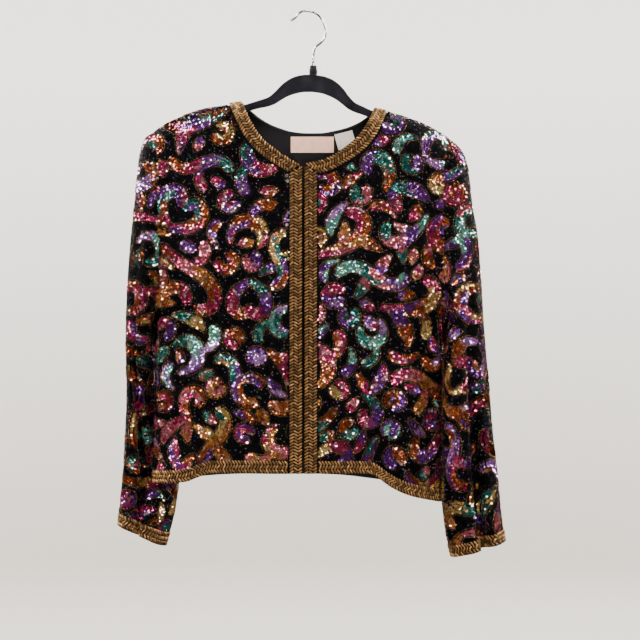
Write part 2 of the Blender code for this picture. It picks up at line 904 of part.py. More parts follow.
def hook_collar(material):
    """Collar on the hanger that the wire is pressed into."""
    foot = HANGER_TOP[1] + LAY
    profile = (
        (0.0, COLLAR_TOP - COLLAR_HOLE_DEPTH),
        (COLLAR_HOLE_RADIUS, COLLAR_TOP - COLLAR_HOLE_DEPTH),
        (COLLAR_HOLE_RADIUS, COLLAR_TOP),
        (COLLAR_NECK_RADIUS, COLLAR_TOP),
        (COLLAR_NECK_RADIUS, COLLAR_SHOULDER + COLLAR_SLOPE),
        (COLLAR_FOOT_RADIUS, COLLAR_SHOULDER),
        (COLLAR_FOOT_RADIUS, foot),
        (0.0, foot),
    )
    mesh = bmesh.new()
    centre_x = HANGER_TOP[0]
    poles = [mesh.verts.new((centre_x * MM, 0, z * MM)) for _, z in (profile[0], profile[-1])]
    rings = []
    for radius, z in profile[1:-1]:
        ring = []
        for n in range(COLLAR_SIDES):
            angle = 2 * math.pi * n / COLLAR_SIDES
            x = centre_x + radius * math.cos(angle)
            ring.append(mesh.verts.new((x * MM, radius * math.sin(angle) * MM, z * MM)))
        rings.append(ring)
    for k in range(COLLAR_SIDES):
        n = (k + 1) % COLLAR_SIDES
        mesh.faces.new((poles[0], rings[0][k], rings[0][n]))
        mesh.faces.new((poles[1], rings[-1][n], rings[-1][k]))
        for ring, following in zip(rings, rings[1:]):
            mesh.faces.new((ring[k], following[k], following[n], ring[n]))
    bmesh.ops.recalc_face_normals(mesh, faces=mesh.faces)
    return mesh_object("hook_collar", mesh, material)


def main():
    """Build every piece of the jacket and its hanger."""
    for item in list(bpy.data.objects):
        bpy.data.objects.remove(item)

    beaded = finish("beaded_cloth", (0.05, 0.035, 0.05), 0.35, 0.2)
    braid = finish("gold_braid", (0.42, 0.24, 0.06), 0.35, 0.8)
    lining = finish("black_lining", (0.015, 0.012, 0.014), 0.45)
    label_cloth = finish("label_cloth", (0.72, 0.47, 0.38), 0.8)
    tag_cloth = finish("tag_cloth", (0.75, 0.72, 0.68), 0.8)
    flock = finish("black_flock", (0.01, 0.01, 0.014), 0.95)
    chrome = finish("chrome_wire", (0.75, 0.76, 0.78), 0.18, 1.0)

    back, back_normals = back_halves()
    cloth_wall("back", [(back[side], back_normals[side]) for side in (RIGHT, LEFT)], beaded)
    lower = slice(NECK_ROWS, None)
    across = [
        np.concatenate((half[RIGHT][lower, ::-1], half[LEFT][lower, 1:]), axis=1)
        for half in (back, back_normals)
    ]
    hem_trim("hem_trim_back", *across, HEM_TRIM_END, 2 * PANEL_COLUMNS - HEM_TRIM_END, braid)

    for side in (RIGHT, LEFT):
        name = SIDE_NAMES[side]
        front, front_normals = front_panel(side)
        cloth_wall(f"front_{name}", [(front, front_normals)], beaded)
        front_trim(side, front, front_normals, braid)
        ends = (HEM_TRIM_START, PANEL_COLUMNS - HEM_TRIM_END)
        hem_trim(f"hem_trim_{name}", front, front_normals, *ends, braid)
        grid, normals = sleeve(side, front, back[side])
        cloth_wall(f"sleeve_{name}", [(tube(grid), tube(normals))], beaded)
        trim_wall(f"cuff_trim_{name}", tube(grid[-2:]), tube(normals[-2:]), braid)

    neck_trim(braid)
    back_lining(lining)
    label("neck_label", NECK_LABEL, label_cloth)
    label("care_tag", CARE_TAG, tag_cloth)
    hanger(flock)
    hook_collar(flock)
    hanger_hook(chrome)


main()
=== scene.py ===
"""Looks of a beaded evening jacket on its hanger: cloth, sequins, beads, braid and light.

The jacket's own sizes are in millimetres, as on a cutting table, and metres are made only when
a mesh is written. The front faces -Y and the wearer's left is +X.
"""

import logging
import math
from bisect import bisect_right
from collections import Counter
from collections.abc import Iterable, Sequence
from dataclasses import dataclass, field
from enum import Enum
from typing import NamedTuple

import bmesh
import bpy
import numpy as np
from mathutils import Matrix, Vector, kdtree


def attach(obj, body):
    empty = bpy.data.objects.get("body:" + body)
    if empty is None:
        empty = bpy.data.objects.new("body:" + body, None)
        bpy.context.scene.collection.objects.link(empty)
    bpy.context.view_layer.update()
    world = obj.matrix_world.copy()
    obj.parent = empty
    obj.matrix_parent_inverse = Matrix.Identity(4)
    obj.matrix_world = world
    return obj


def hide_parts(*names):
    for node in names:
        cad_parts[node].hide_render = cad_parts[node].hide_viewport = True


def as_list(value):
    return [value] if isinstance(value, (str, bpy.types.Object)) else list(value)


LOG = logging.getLogger("jacket")
Item = bpy.types.Object
Material = bpy.types.Material
Socket = bpy.types.NodeSocket

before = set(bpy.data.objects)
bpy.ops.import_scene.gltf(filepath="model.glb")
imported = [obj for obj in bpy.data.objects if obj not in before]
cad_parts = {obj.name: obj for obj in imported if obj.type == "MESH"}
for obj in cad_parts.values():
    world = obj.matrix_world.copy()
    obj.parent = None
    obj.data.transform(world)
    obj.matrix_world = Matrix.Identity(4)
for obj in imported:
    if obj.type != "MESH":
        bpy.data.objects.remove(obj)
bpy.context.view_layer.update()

MM = 0.001
FRONT = -1
BACK = 1
RIGHT = -1
LEFT = 1
SIDE_NAMES = {RIGHT: "right", LEFT: "left"}

CLOTH = 2.0
SEAM = 0.4
LAY = 0.3
CENTRE_X = -8.0
FRONT_GAP = 1.6
SECTION_ROUNDNESS = 2.6
SHOULDER_DROP = 45.0
UNDERARM_Z = -432.0
TRIM_WIDTH = 17.0
NECK_TRIM_LIFT = 1.0
MITRE_DROP = 9.5
BODY_AXIS = (CENTRE_X, 0.0, -420.0)
SMOOTH_ANGLE = 50.0

ARM_ROWS = 12
BODY_ROWS = 7
NECK_ROWS = 8
PANEL_ROWS = ARM_ROWS + BODY_ROWS + 1
PANEL_COLUMNS = 12
FINE = 4


class Level(NamedTuple):
    """Half widths and depths of the body at a height."""

    z: float
    right: float
    left: float
    front: float
    back: float


class Place(NamedTuple):
    """A point of an outline in the front view."""

    x: float
    z: float


class ArmLevel(NamedTuple):
    """Where the armhole seams stand, seen from the front."""

    z: float
    right: float
    left: float


class Fold(NamedTuple):
    """A soft lengthwise fold of the body: outward at +depth, inward at -depth."""

    face: int
    x: float
    lean: float
    width: float
    depth: float
    top: float


class Ring(NamedTuple):
    """A section of a sleeve, from its outer point to its inner point, with its depths."""

    out_x: float
    out_z: float
    in_x: float
    in_z: float
    y: float
    front: float
    back: float
    shear: float
    crease: float


def table(kind: type, *rows: tuple) -> tuple:
    """Table whose rows are all named tuples of one kind."""
    return tuple(kind(*row) for row in rows)


BODY = table(
    Level,
    (-680, 206, 189, 47, 40), (-640, 206, 189, 49, 41), (-560, 205, 189, 51, 42),
    (-480, 206, 190, 52, 43), (-432, 207, 198, 52, 44), (-385, 230, 222, 51, 44),
    (-300, 253, 247, 49, 43), (-215, 256, 250, 43, 37), (-120, 260, 255, 34, 28),
)
SHOULDER_RIDGE = table(
    Place,
    (-214, -167.5), (-207, -161), (-184, -148.5), (-154, -136.5), (-120, -130), (-93, -126),
    (-40, -122), (40, -124), (89, -134.2), (110, -139.0), (143, -149.5), (173, -163), (191, -175),
)
FRONT_NECKLINE = table(
    Place,
    (-93, -126), (-88.5, -135), (-82.4, -148), (-72.9, -165.2), (-61, -180.2), (-46.8, -192.1),
    (-29.3, -204), (-10, -213.5), (-3.6, -212.5), (18.6, -207.1), (34.4, -199.5), (52.6, -186.7),
    (65.3, -175.4), (75.6, -161.2), (84.3, -146), (89, -134.2),
)
BACK_NECKLINE = table(
    Place,
    (-93, -126), (-86, -131), (-69.7, -143), (-55.5, -151), (-41, -156.5), (-25, -161),
    (-5, -163), (15, -163), (32, -160.5), (50, -156.5), (64, -151.5), (80, -142.5), (89, -134.2),
)
FRONT_HEM = table(
    Place,
    (-214, -648), (-168, -644), (-150, -637), (-132, -632), (-60, -631), (-8, -632), (60, -631.5),
    (84, -633), (97, -641), (110, -650), (136, -662), (181, -674),
)
BACK_HEM = table(
    Place,
    (-214, -648), (-120, -641), (-8, -640), (100, -648), (181, -674),
)
ARM_SEAM = table(
    ArmLevel,
    (-432, -215, 190), (-420, -212.5, 188), (-395, -207.5, 184.3), (-345, -204.3, 181.6),
    (-260, -204, 181.5), (-215, -206, 183), (-174, -210.5, 190), (-164, -213, 192),
)
FOLD_GROWTH = 200.0
FOLDS = table(
    Fold,
    (FRONT, 90, -0.02, 14, -7, -430), (FRONT, 128, 0.03, 24, 8, -330),
    (FRONT, -140, 0.03, 16, -6, -440), (FRONT, -176, -0.02, 22, 5, -360),
    (FRONT, -70, 0.05, 26, 3.5, -400), (BACK, -110, 0.04, 30, 7, -330),
    (BACK, -40, -0.02, 28, -5, -420), (BACK, 60, -0.04, 30, 6, -350),
)
SLEEVES = {
    RIGHT: table(
        Ring,
        (-213.5, -166, -216.0, -432.5, 0, 42, 37, 0, 0),
        (-224.0, -173, -217.0, -435, 0, 44, 39, 0, 0),
        (-231.0, -190, -217.6, -438, 0, 47, 41, 0, 0),
        (-235.5, -218, -218.2, -442, 0, 49, 43, 0, 0),
        (-239.5, -262, -218.6, -447, 1, 50, 45, 0, 0),
        (-244.0, -315, -218.8, -456, 3, 51, 46, 2, 0),
        (-248.5, -380, -218.8, -470, 6, 51, 47, 4, 2),
        (-250.5, -450, -218.6, -500, 9, 49, 46, 6, 5),
        (-250.5, -520, -213.0, -548, 20, 42, 40, 16, 8),
        (-254.0, -585, -200.0, -606, 32, 33, 33, 24, 9),
        (-257.5, -640, -187.0, -652, 37, 25, 25, 27, 9),
        (-261.5, -674, -193.0, -702, 31, 26, 25, 17, 10),
        (-264.0, -708, -202.5, -739, 22, 27, 25, 8, 11),
    ),
    LEFT: table(
        Ring,
        (191.5, -175, 192.5, -432.5, 0, 42, 37, 0, 0),
        (203.0, -184, 193.5, -436, 0, 44, 39, 0, 0), (212.0, -197, 193.0, -440, 0, 47, 41, 0, 0),
        (218.0, -220, 191.5, -446, -1, 49, 43, 0, 0),
        (223.0, -265, 190.0, -453, -2, 50, 45, -1, 0),
        (230.5, -310, 188.0, -462, -3, 51, 46, -2, 0),
        (235.0, -375, 185.5, -476, -5, 51, 47, -4, 2),
        (239.5, -445, 184.3, -500, -7, 50, 47, -6, 6),
        (246.0, -515, 183.6, -545, -9, 47, 45, -8, 10),
        (251.0, -580, 183.4, -597, -11, 42, 41, -9, 12),
        (257.5, -635, 183.4, -648, -12, 37, 36, -9, 13),
        (263.0, -694, 189.0, -712, -10, 32, 31, -7, 13),
        (268.0, -728, 197.0, -748, -8, 29, 28, -5, 13),
    ),
}
RING_STEPS = (0, 0.6, 1.3, 2, 3, 4, 5, 6, 7, 7.5, 8, 8.5, 9, 9.5, 10, 10.5, 11, 11.5, 12)
SECTION_SQUARE = 0.85
CREASE_PLACE = 5.0
CREASE_REACH = 0.9
CAP_RINGS = 7.0
NORMAL_STEP = 0.5


def soft(knots: Sequence[float], values: Sequence[float], at: float) -> float:
    """Value at a place on a smooth curve through the knots that never overshoots them.

    Args:
        knots: Places of the known values, in rising order.
        values: Value at each knot.
        at: Place to read.

    Returns:
        The value there, held level past both ends.
    """
    if at <= knots[0]:
        return values[0]
    if at >= knots[-1]:
        return values[-1]
    k = bisect_right(knots, at) - 1
    last = len(knots) - 2
    steps = [
        (values[n + 1] - values[n]) / (knots[n + 1] - knots[n])
        for n in (max(k - 1, 0), k, min(k + 1, last))
    ]

    def slope(a: float, b: float) -> float:
        """Slope at a knot between two runs."""
        return 0.0 if a * b <= 0 else 2 * a * b / (a + b)

    before = slope(steps[0], steps[1])
    after = slope(steps[1], steps[2])
    run = knots[k + 1] - knots[k]
    t = (at - knots[k]) / run
    return (
        values[k] * (1 + 2 * t) * (1 - t) ** 2
        + values[k + 1] * t * t * (3 - 2 * t)
        + run * before * t * (1 - t) ** 2
        - run * after * t * t * (1 - t)
    )


def read_table(rows: Sequence[NamedTuple], key: str, name: str, at: float) -> float:
    """Value of one named column of a table, between its rows."""
    return soft([getattr(row, key) for row in rows], [getattr(row, name) for row in rows], at)


def ease(t: float) -> float:
    """Ramp from 0 to 1 with level ends."""
    t = min(max(t, 0.0), 1.0)
    return t * t * (3 - 2 * t)


def unit(vectors: np.ndarray) -> np.ndarray:
    """Vectors at unit length."""
    return vectors / np.maximum(np.linalg.norm(vectors, axis=-1, keepdims=True), 1e-9)


def link(name: str, data: bpy.types.ID) -> Item:
    """Object with this data, linked to the scene."""
    item = bpy.data.objects.new(name, data)
    bpy.context.scene.collection.objects.link(item)
    return item


def circle(sides: int) -> list[tuple[float, float]]:
    """Cosine and sine at even steps round a circle."""
    turns = [2 * math.pi * n / sides for n in range(sides)]
    return [(math.cos(turn), math.sin(turn)) for turn in turns]


def lengths(line: np.ndarray) -> np.ndarray:
    """Length along a line up to each of its points."""
    steps = np.linalg.norm(np.diff(line, axis=0), axis=1)
    return np.concatenate(([0.0], np.cumsum(steps)))


def read_along(line: np.ndarray, length: np.ndarray, at: np.ndarray) -> np.ndarray:
    """Places of a flat line at lengths along it."""
    return np.stack([np.interp(at, length, line[:, n]) for n in (0, 1)], axis=1)


def cells(grid: np.ndarray, down: np.ndarray, across: np.ndarray) -> tuple[np.ndarray, ...]:
    """First row and first column of the cells that places lie in."""
    i = np.clip(down.astype(int), 0, grid.shape[0] - 2)
    j = np.clip(across.astype(int), 0, grid.shape[1] - 2)
    return i, j


def flat_cross(first: np.ndarray, second: np.ndarray) -> np.ndarray:
    """Cross product of flat vectors."""
    return first[:, 0] * second[:, 1] - first[:, 1] * second[:, 0]


def read_between(grid: np.ndarray, down: np.ndarray, across: np.ndarray) -> np.ndarray:
    """Values of a grid at places between its points.

    Args:
        grid: Values in rows and columns.
        down: Rows to read.
        across: Columns to read.

    Returns:
        The values, one for each place.
    """
    i, j = cells(grid, down, across)
    a = (down - i)[:, None]
    b = (across - j)[:, None]
    upper = grid[i, j] * (1 - b) + grid[i, j + 1] * b
    lower = grid[i + 1, j] * (1 - b) + grid[i + 1, j + 1] * b
    return upper * (1 - a) + lower * a


def facing(normals: np.ndarray, outward: np.ndarray) -> np.ndarray:
    """Normals, turned round where they point the wrong way as a whole."""
    return -normals if np.sum(normals * outward) < 0 else normals


def grid_normals(grid: np.ndarray, closed: bool = False) -> np.ndarray:
    """Unit normals of a grid of points, by central differences.

    Args:
        grid: Points in rows and columns.
        closed: Whether the columns run round a tube and repeat the first at the end.

    Returns:
        One normal for each point.
    """
    down = np.gradient(grid, axis=0)
    across = np.gradient(grid, axis=1)
    if closed:
        across[:, 0] = (grid[:, 1] - grid[:, -2]) / 2
        across[:, -1] = across[:, 0]
    return unit(np.cross(across, down))


def ridge(x: float) -> float:
    """Height of the shoulder line, seen from the front."""
    return read_table(SHOULDER_RIDGE, "x", "z", x)


def half_width(side: int, z: float) -> float:
    """Half width of the body's section on one side."""
    return read_table(BODY, "z", SIDE_NAMES[side], z)


def edge_z(table: Sequence[Place], x: float) -> float:
    """Height of a neckline or hem at a place across the body."""
    return read_table(table, "x", "z", x)


def fold_depth(face: int, x: float, z: float) -> float:
    """How far the soft folds push the cloth out at a place."""
    total = 0.0
    for fold in FOLDS:
        if fold.face != face or z > fold.top:
            continue
        middle = fold.x + fold.lean * (fold.top - z)
        grown = ease((fold.top - z) / (fold.top - UNDERARM_Z + FOLD_GROWTH))
        total += fold.depth * grown * math.exp(-(((x - middle) / fold.width) ** 2))
    return total


def cloth_y(face: int, x: float, z: float) -> float:
    """Depth of the body's outer surface at a place of the front view."""
    side = LEFT if x > CENTRE_X else RIGHT
    across = min(abs(x - CENTRE_X) / half_width(side, z), 1.0)
    flat = (1 - across**SECTION_ROUNDNESS) ** (1 / SECTION_ROUNDNESS)
    drop = min(max((ridge(x) - z) / SHOULDER_DROP, 0.0), 1.0)
    cap = math.sqrt(1 - (1 - drop) ** 2)
    depth = read_table(BODY, "z", "front" if face == FRONT else "back", z)
    fold = fold_depth(face, x, z) * (1 - across**8)
    return face * (SEAM + (depth * flat + fold) * cap)


def cap_length(x: float, face: int) -> float:
    """Length of the rounded top of the cloth, from the shoulder line to its upright part."""
    depth = abs(cloth_y(face, x, ridge(x) - SHOULDER_DROP))
    return math.pi / 2 * math.sqrt((SHOULDER_DROP**2 + depth**2) / 2)


def shell_point(x: float, down: float) -> np.ndarray:
    """Point of the body's surface, by its way down from the shoulder line: + front, - back."""
    face = FRONT if down >= 0 else BACK
    cap = cap_length(x, face)
    way = abs(down)
    if way < cap:
        z = ridge(x) - SHOULDER_DROP * (1 - math.cos(math.pi / 2 * way / cap))
    else:
        z = ridge(x) - SHOULDER_DROP - (way - cap)
    return np.array((x, cloth_y(face, x, z), z))


def way_down(x: float, z: float, face: int) -> float:
    """Signed way down the surface from the shoulder line to a height."""
    cap = cap_length(x, face)
    drop = ridge(x) - z
    if drop < SHOULDER_DROP:
        way = cap * math.acos(1 - max(drop, 0.0) / SHOULDER_DROP) * 2 / math.pi
    else:
        way = cap + drop - SHOULDER_DROP
    return way if face == FRONT else -way


def shell_normal(x: float, down: float) -> np.ndarray:
    """Outward normal of the body's surface."""
    across = shell_point(x + NORMAL_STEP, down) - shell_point(x - NORMAL_STEP, down)
    along = shell_point(x, down + NORMAL_STEP) - shell_point(x, down - NORMAL_STEP)
    normal = unit(np.cross(along, across))
    point = shell_point(x, down)
    away = np.array((0.0, point[1], point[2] - ridge(x) + SHOULDER_DROP))
    return normal if np.dot(normal, away) > 0 else -normal


def lay_flat(points: np.ndarray) -> np.ndarray:
    """Flat pattern of a piece of cloth that is open along its sides.

    Args:
        points: Grid of its points, in millimetres.

    Returns:
        Flat place of each point, at true scale, with the middle column upright.
    """
    rows, columns = points.shape[:2]
    number = np.arange(rows * columns).reshape(rows, columns)
    quads = np.stack((number[:-1, :-1], number[1:, :-1], number[1:, 1:], number[:-1, 1:]), axis=2)
    data = bpy.data.meshes.new("pattern")
    data.from_pydata((points.reshape(-1, 3) * MM).tolist(), [], quads.reshape(-1, 4).tolist())
    data.uv_layers.new(name="Cut")
    item = link("pattern", data)
    bpy.context.view_layer.objects.active = item
    bpy.ops.object.mode_set(mode="EDIT")
    bpy.ops.mesh.select_all(action="SELECT")
    bpy.ops.uv.unwrap(method="ANGLE_BASED", margin=0.0)
    bpy.ops.object.mode_set(mode="OBJECT")
    flat = np.zeros((rows * columns, 2))
    corners = np.zeros(len(data.loops), dtype=int)
    cut = np.zeros(len(data.loops) * 2)
    data.loops.foreach_get("vertex_index", corners)
    data.uv_layers["Cut"].uv.foreach_get("vector", cut)
    flat[corners] = cut.reshape(-1, 2)
    true_area = sum(face.area for face in data.polygons) / MM**2
    x, y = flat[quads.reshape(-1, 4)].transpose(2, 0, 1)
    flat_area = 0.5 * np.sum(x * np.roll(y, -1, axis=1) - y * np.roll(x, -1, axis=1))
    bpy.data.objects.remove(item)
    bpy.data.meshes.remove(data)
    flat = flat.reshape(rows, columns, 2) * math.sqrt(true_area / abs(flat_area))
    if flat_area > 0:
        flat[..., 0] *= -1
    foot = flat[-1, columns // 2]
    rise = unit(flat[0, columns // 2] - foot)
    upright = np.array(((rise[1], rise[0]), (-rise[0], rise[1])))
    return (flat - foot) @ upright


class Wrinkle(NamedTuple):
    """A crease or ridge placed on a piece of cloth, in the piece's own rows and columns."""

    row: float
    column: float
    turn: float
    length: float
    width: float
    depth: float


FRONT_WRINKLES = {
    RIGHT: table(
        Wrinkle,
        (6.0, 8.0, -14, 9.0, 1.1, -1.8), (12.6, 10.3, 16, 6.0, 0.6, -3.0),
        (13.4, 9.2, 9, 7.5, 0.8, 2.2), (15.5, 7.4, -6, 8.0, 0.8, -2.6),
        (16.5, 4.9, 4, 6.5, 0.9, 2.0), (17.5, 3.1, 3, 5.0, 0.6, -1.7),
        (9.5, 3.6, 10, 7.0, 1.3, 1.3),
    ),
    LEFT: table(
        Wrinkle,
        (5.0, 7.2, -9, 7.5, 1.0, -1.5), (12.2, 10.6, 20, 5.0, 0.6, -3.2),
        (14.0, 9.6, 7, 8.5, 0.9, 2.4), (16.8, 8.3, -4, 6.0, 0.7, -3.0),
        (16.0, 6.1, -8, 7.0, 1.0, 2.8), (17.6, 4.3, 5, 4.5, 0.6, -2.0),
        (10.5, 4.4, -7, 6.0, 1.2, 1.4),
    ),
}
BACK_WRINKLES = {
    RIGHT: table(
        Wrinkle,
        (7.5, 3.0, 8, 9.0, 1.4, -2.0), (12.0, 10.4, 18, 6.0, 0.6, -3.0),
        (14.5, 7.8, -5, 9.0, 1.1, 3.0), (16.2, 5.2, 4, 7.0, 0.8, -3.2),
        (5.5, 8.2, -16, 6.0, 0.9, -1.6),
    ),
    LEFT: table(
        Wrinkle,
        (6.5, 4.2, -9, 8.0, 1.3, -1.8), (12.6, 10.1, 14, 5.0, 0.7, -2.6),
        (15.0, 6.6, 6, 8.0, 1.2, 2.6), (16.6, 8.7, -6, 6.5, 0.7, -3.4),
        (9.0, 7.6, -12, 5.0, 0.8, 1.5),
    ),
}
SLEEVE_WRINKLES = {
    RIGHT: table(
        Wrinkle,
        (15.0, 17.3, 0, 11.0, 0.5, -9.5), (15.0, 18.9, 0, 9.0, 1.0, 3.6),
        (14.5, 15.6, 0, 9.0, 1.0, 2.2), (10.0, 19.6, 24, 4.0, 0.7, -3.4),
        (8.6, 17.0, -18, 4.5, 0.8, -2.6), (5.5, 16.2, 3, 6.0, 0.7, -2.6),
        (6.5, 14.4, -4, 6.5, 0.9, 2.0), (14.0, 6.6, 3, 9.0, 0.6, -5.0),
        (9.4, 8.4, 20, 5.0, 0.8, -3.2), (6.0, 6.0, -6, 6.0, 0.9, -2.4),
    ),
    LEFT: table(
        Wrinkle,
        (15.0, 17.4, 0, 13.0, 0.5, -10.5), (14.5, 19.0, 0, 10.0, 1.0, 3.6),
        (15.5, 15.7, 0, 8.0, 0.9, 2.6), (9.6, 20.2, 20, 5.0, 0.7, -3.2),
        (8.0, 18.0, -14, 4.0, 0.7, -2.4), (5.0, 16.6, -4, 6.5, 0.8, -2.8),
        (6.2, 14.6, 5, 7.0, 0.8, 1.8), (13.0, 7.4, -4, 10.0, 0.7, -5.0),
        (9.0, 5.0, -20, 5.0, 0.8, -3.0), (5.6, 8.2, 6, 6.0, 0.9, -2.2),
        (11.5, 0.0, 0, 18.0, 1.5, 2.2), (11.5, 24.0, 0, 18.0, 1.5, 2.2),
    ),
}


SIDE_FADE = 0.8
TOP_FADE = 1.2


@dataclass
class ClothGrid:
    """Fine grid of a piece of cloth, with the flat place of each point on its pattern."""

    points: np.ndarray
    normals: np.ndarray
    flat: np.ndarray
    closed: bool = False

    def press(self, wrinkles: Iterable[Wrinkle]) -> None:
        """Push the cloth along its normals by its wrinkles.

        Args:
            wrinkles: Creases with a negative depth and ridges with a positive one.
        """
        rows, columns = self.points.shape[:2]
        down, across = np.meshgrid(
            np.arange(rows) / FINE, np.arange(columns) / FINE, indexing="ij"
        )
        push = np.zeros((rows, columns))
        for one in wrinkles:
            turn = math.radians(one.turn)
            run = (down - one.row) * math.cos(turn) + (across - one.column) * math.sin(turn)
            off = (across - one.column) * math.cos(turn) - (down - one.row) * math.sin(turn)
            push += one.depth * np.exp(-((2 * run / one.length) ** 2) - (off / one.width) ** 2)
        fade = np.ones((rows, columns))
        if not self.closed:
            edge = np.minimum(across, columns / FINE - across) / SIDE_FADE
            fade *= np.clip(edge, 0, 1)
        fade *= np.clip(down / TOP_FADE, 0, 1)
        self.points = self.points + self.normals * (push * fade)[..., None]
        turned = facing(grid_normals(self.points, self.closed), self.normals)
        blend = fade[..., None]
        self.normals = unit(turned * blend + self.normals * (1 - blend))

    def area(self) -> float:
        """Area of the cloth, in square metres."""
        down = np.diff(self.points[:, :-1], axis=0)
        across = np.diff(self.points[:-1], axis=1)
        return float(np.linalg.norm(np.cross(down, across), axis=2).sum()) * MM**2

    def cut(self, rows: Sequence[float], columns: Sequence[float]) -> "ClothGrid":
        """Strip of this cloth at rows and columns that may lie between its own.

        Args:
            rows: Places down the cloth, in the pattern's rows.
            columns: Places across it, in the pattern's columns.

        Returns:
            The strip's grid.
        """
        down, across = np.meshgrid(
            np.asarray(rows) * FINE, np.asarray(columns) * FINE, indexing="ij"
        )

        def read(grid: np.ndarray) -> np.ndarray:
            """Values of a grid at those places."""
            return read_between(grid, down.ravel(), across.ravel()).reshape(*down.shape, -1)

        return ClothGrid(read(self.points), unit(read(self.normals)), read(self.flat))

    def exchanged(self, closed: bool = False) -> "ClothGrid":
        """The same cloth with its rows and columns exchanged."""
        parts = (part.swapaxes(0, 1) for part in (self.points, self.normals, self.flat))
        return ClothGrid(*parts, closed)

    def wall(self, lift: float, thickness: float) -> tuple[np.ndarray, np.ndarray, np.ndarray]:
        """Outer points, inner points and flat places of a wall on this grid.

        Args:
            lift: How far the wall's outer face lies above the grid.
            thickness: The wall's thickness.

        Returns:
            Grids of the outer points, the inner points and the flat places.
        """
        outer = self.points + self.normals * lift
        return outer, outer - self.normals * thickness, self.flat


def turn_of(half: float, x: float) -> float:
    """Angle round the body's section of a place across it."""
    share = min(abs(x - CENTRE_X) / half, 1.0)
    return math.asin(share ** (SECTION_ROUNDNESS / 2))


@dataclass
class BodyPanel:
    """One side of the front or back, between its neckline, armhole, side seam and hem."""

    face: int
    side: int
    middle_x: float

    def __post_init__(self) -> None:
        """Choose the outlines of this panel's face."""
        front = self.face == FRONT
        self.neckline = FRONT_NECKLINE if front else BACK_NECKLINE
        self.hem = FRONT_HEM if front else BACK_HEM
        self.neck_x = (FRONT_NECKLINE[-1] if self.side == LEFT else FRONT_NECKLINE[0]).x
        self.tip = SHOULDER_RIDGE[0] if self.side == RIGHT else SHOULDER_RIDGE[-1]
        seam_x = CENTRE_X + self.side * half_width(self.side, self.hem[0].z)
        self.side_hem = edge_z(self.hem, seam_x)

    def inner_place(self, row: float) -> Place:
        """Place on the inner edge: down the neckline, then down the middle to the hem."""
        share = 1 - math.cos(math.pi / 2 * min(row, NECK_ROWS) / NECK_ROWS)
        x = self.neck_x + (self.middle_x - self.neck_x) * share
        z = edge_z(self.neckline, x)
        if row <= NECK_ROWS:
            return Place(x, z)
        hem = edge_z(self.hem, self.middle_x)
        if row > PANEL_ROWS - 1:
            return Place(x, hem + TRIM_WIDTH * (PANEL_ROWS - row))
        along = (row - NECK_ROWS) / (PANEL_ROWS - 1 - NECK_ROWS)
        return Place(x, z + (hem + TRIM_WIDTH - z) * along)

    def outer_place(self, row: float) -> Place:
        """Place on the outer edge: down the armhole, then down the side seam to the hem."""
        if row == 0:
            return self.tip
        if row < ARM_ROWS:
            z = self.tip.z + (UNDERARM_Z - self.tip.z) * (1 - math.cos(math.pi * row / ARM_ROWS)) / 2
            return Place(read_table(ARM_SEAM, "z", SIDE_NAMES[self.side], z), z)
        trim_top = self.side_hem + TRIM_WIDTH
        if row > PANEL_ROWS - 1:
            z = self.side_hem + TRIM_WIDTH * (PANEL_ROWS - row)
        else:
            z = UNDERARM_Z + (trim_top - UNDERARM_Z) * (row - ARM_ROWS) / BODY_ROWS
        return Place(CENTRE_X + self.side * half_width(self.side, z), z)

    def share_down(self, place: Place) -> float:
        """How far down from the shoulder line to the hem a place is, from 0 to 1."""
        top = ridge(place.x)
        return (top - place.z) / (top - edge_z(self.hem, place.x))

    def row_points(self, row: float) -> list[tuple[float, float, float]]:
        """Points across the panel along one of its rows."""
        start = self.inner_place(row)
        end = self.outer_place(row)
        half = half_width(self.side, end.z)
        turns = (turn_of(half, start.x + self.side * TRIM_WIDTH), turn_of(half, end.x))
        shares = (self.share_down(start), self.share_down(end))
        points = []
        for n in range(PANEL_COLUMNS * FINE + 1):
            column = n / FINE
            if column < 1:
                x = start.x + self.side * TRIM_WIDTH * column
            else:
                turn = turns[0] + (turns[1] - turns[0]) * (column - 1) / (PANEL_COLUMNS - 1)
                x = CENTRE_X + self.side * half * math.sin(max(turn, 0)) ** (2 / SECTION_ROUNDNESS)
            share = shares[0] + (shares[1] - shares[0]) * abs(x - start.x) / abs(end.x - start.x)
            top = ridge(x)
            z = top + (edge_z(self.hem, x) - top) * share
            points.append((x, cloth_y(self.face, x, z), z))
        if row == 0 or row >= ARM_ROWS:
            points[-1] = (end.x, self.face * SEAM, end.z)
        return points

    def grid(self) -> ClothGrid:
        """Fine grid of the panel, with its flat places in millimetres."""
        points = np.array([self.row_points(n / FINE) for n in range(PANEL_ROWS * FINE + 1)])
        normals = facing(grid_normals(points), points - np.array(BODY_AXIS))
        normals[0, :, 1] = 0.0
        normals[ARM_ROWS * FINE :, -1, 1] = 0.0
        steps = np.linalg.norm(np.diff(points[..., :2], axis=1), axis=2)
        across = np.concatenate((np.abs(points[:, :1, 0] - CENTRE_X), steps), axis=1)
        down = np.array(
            [[abs(way_down(x, z, self.face)) - ridge(x) for x, _, z in row] for row in points]
        )
        flat = np.stack((self.side * np.cumsum(across, axis=1), -down), axis=2)
        return ClothGrid(points, unit(normals), flat)


def fine_steps() -> list[float]:
    """Places along a sleeve of its fine rings."""
    places = [
        start + (end - start) * n / FINE
        for start, end in zip(RING_STEPS, RING_STEPS[1:])
        for n in range(FINE)
    ]
    return [*places, RING_STEPS[-1]]


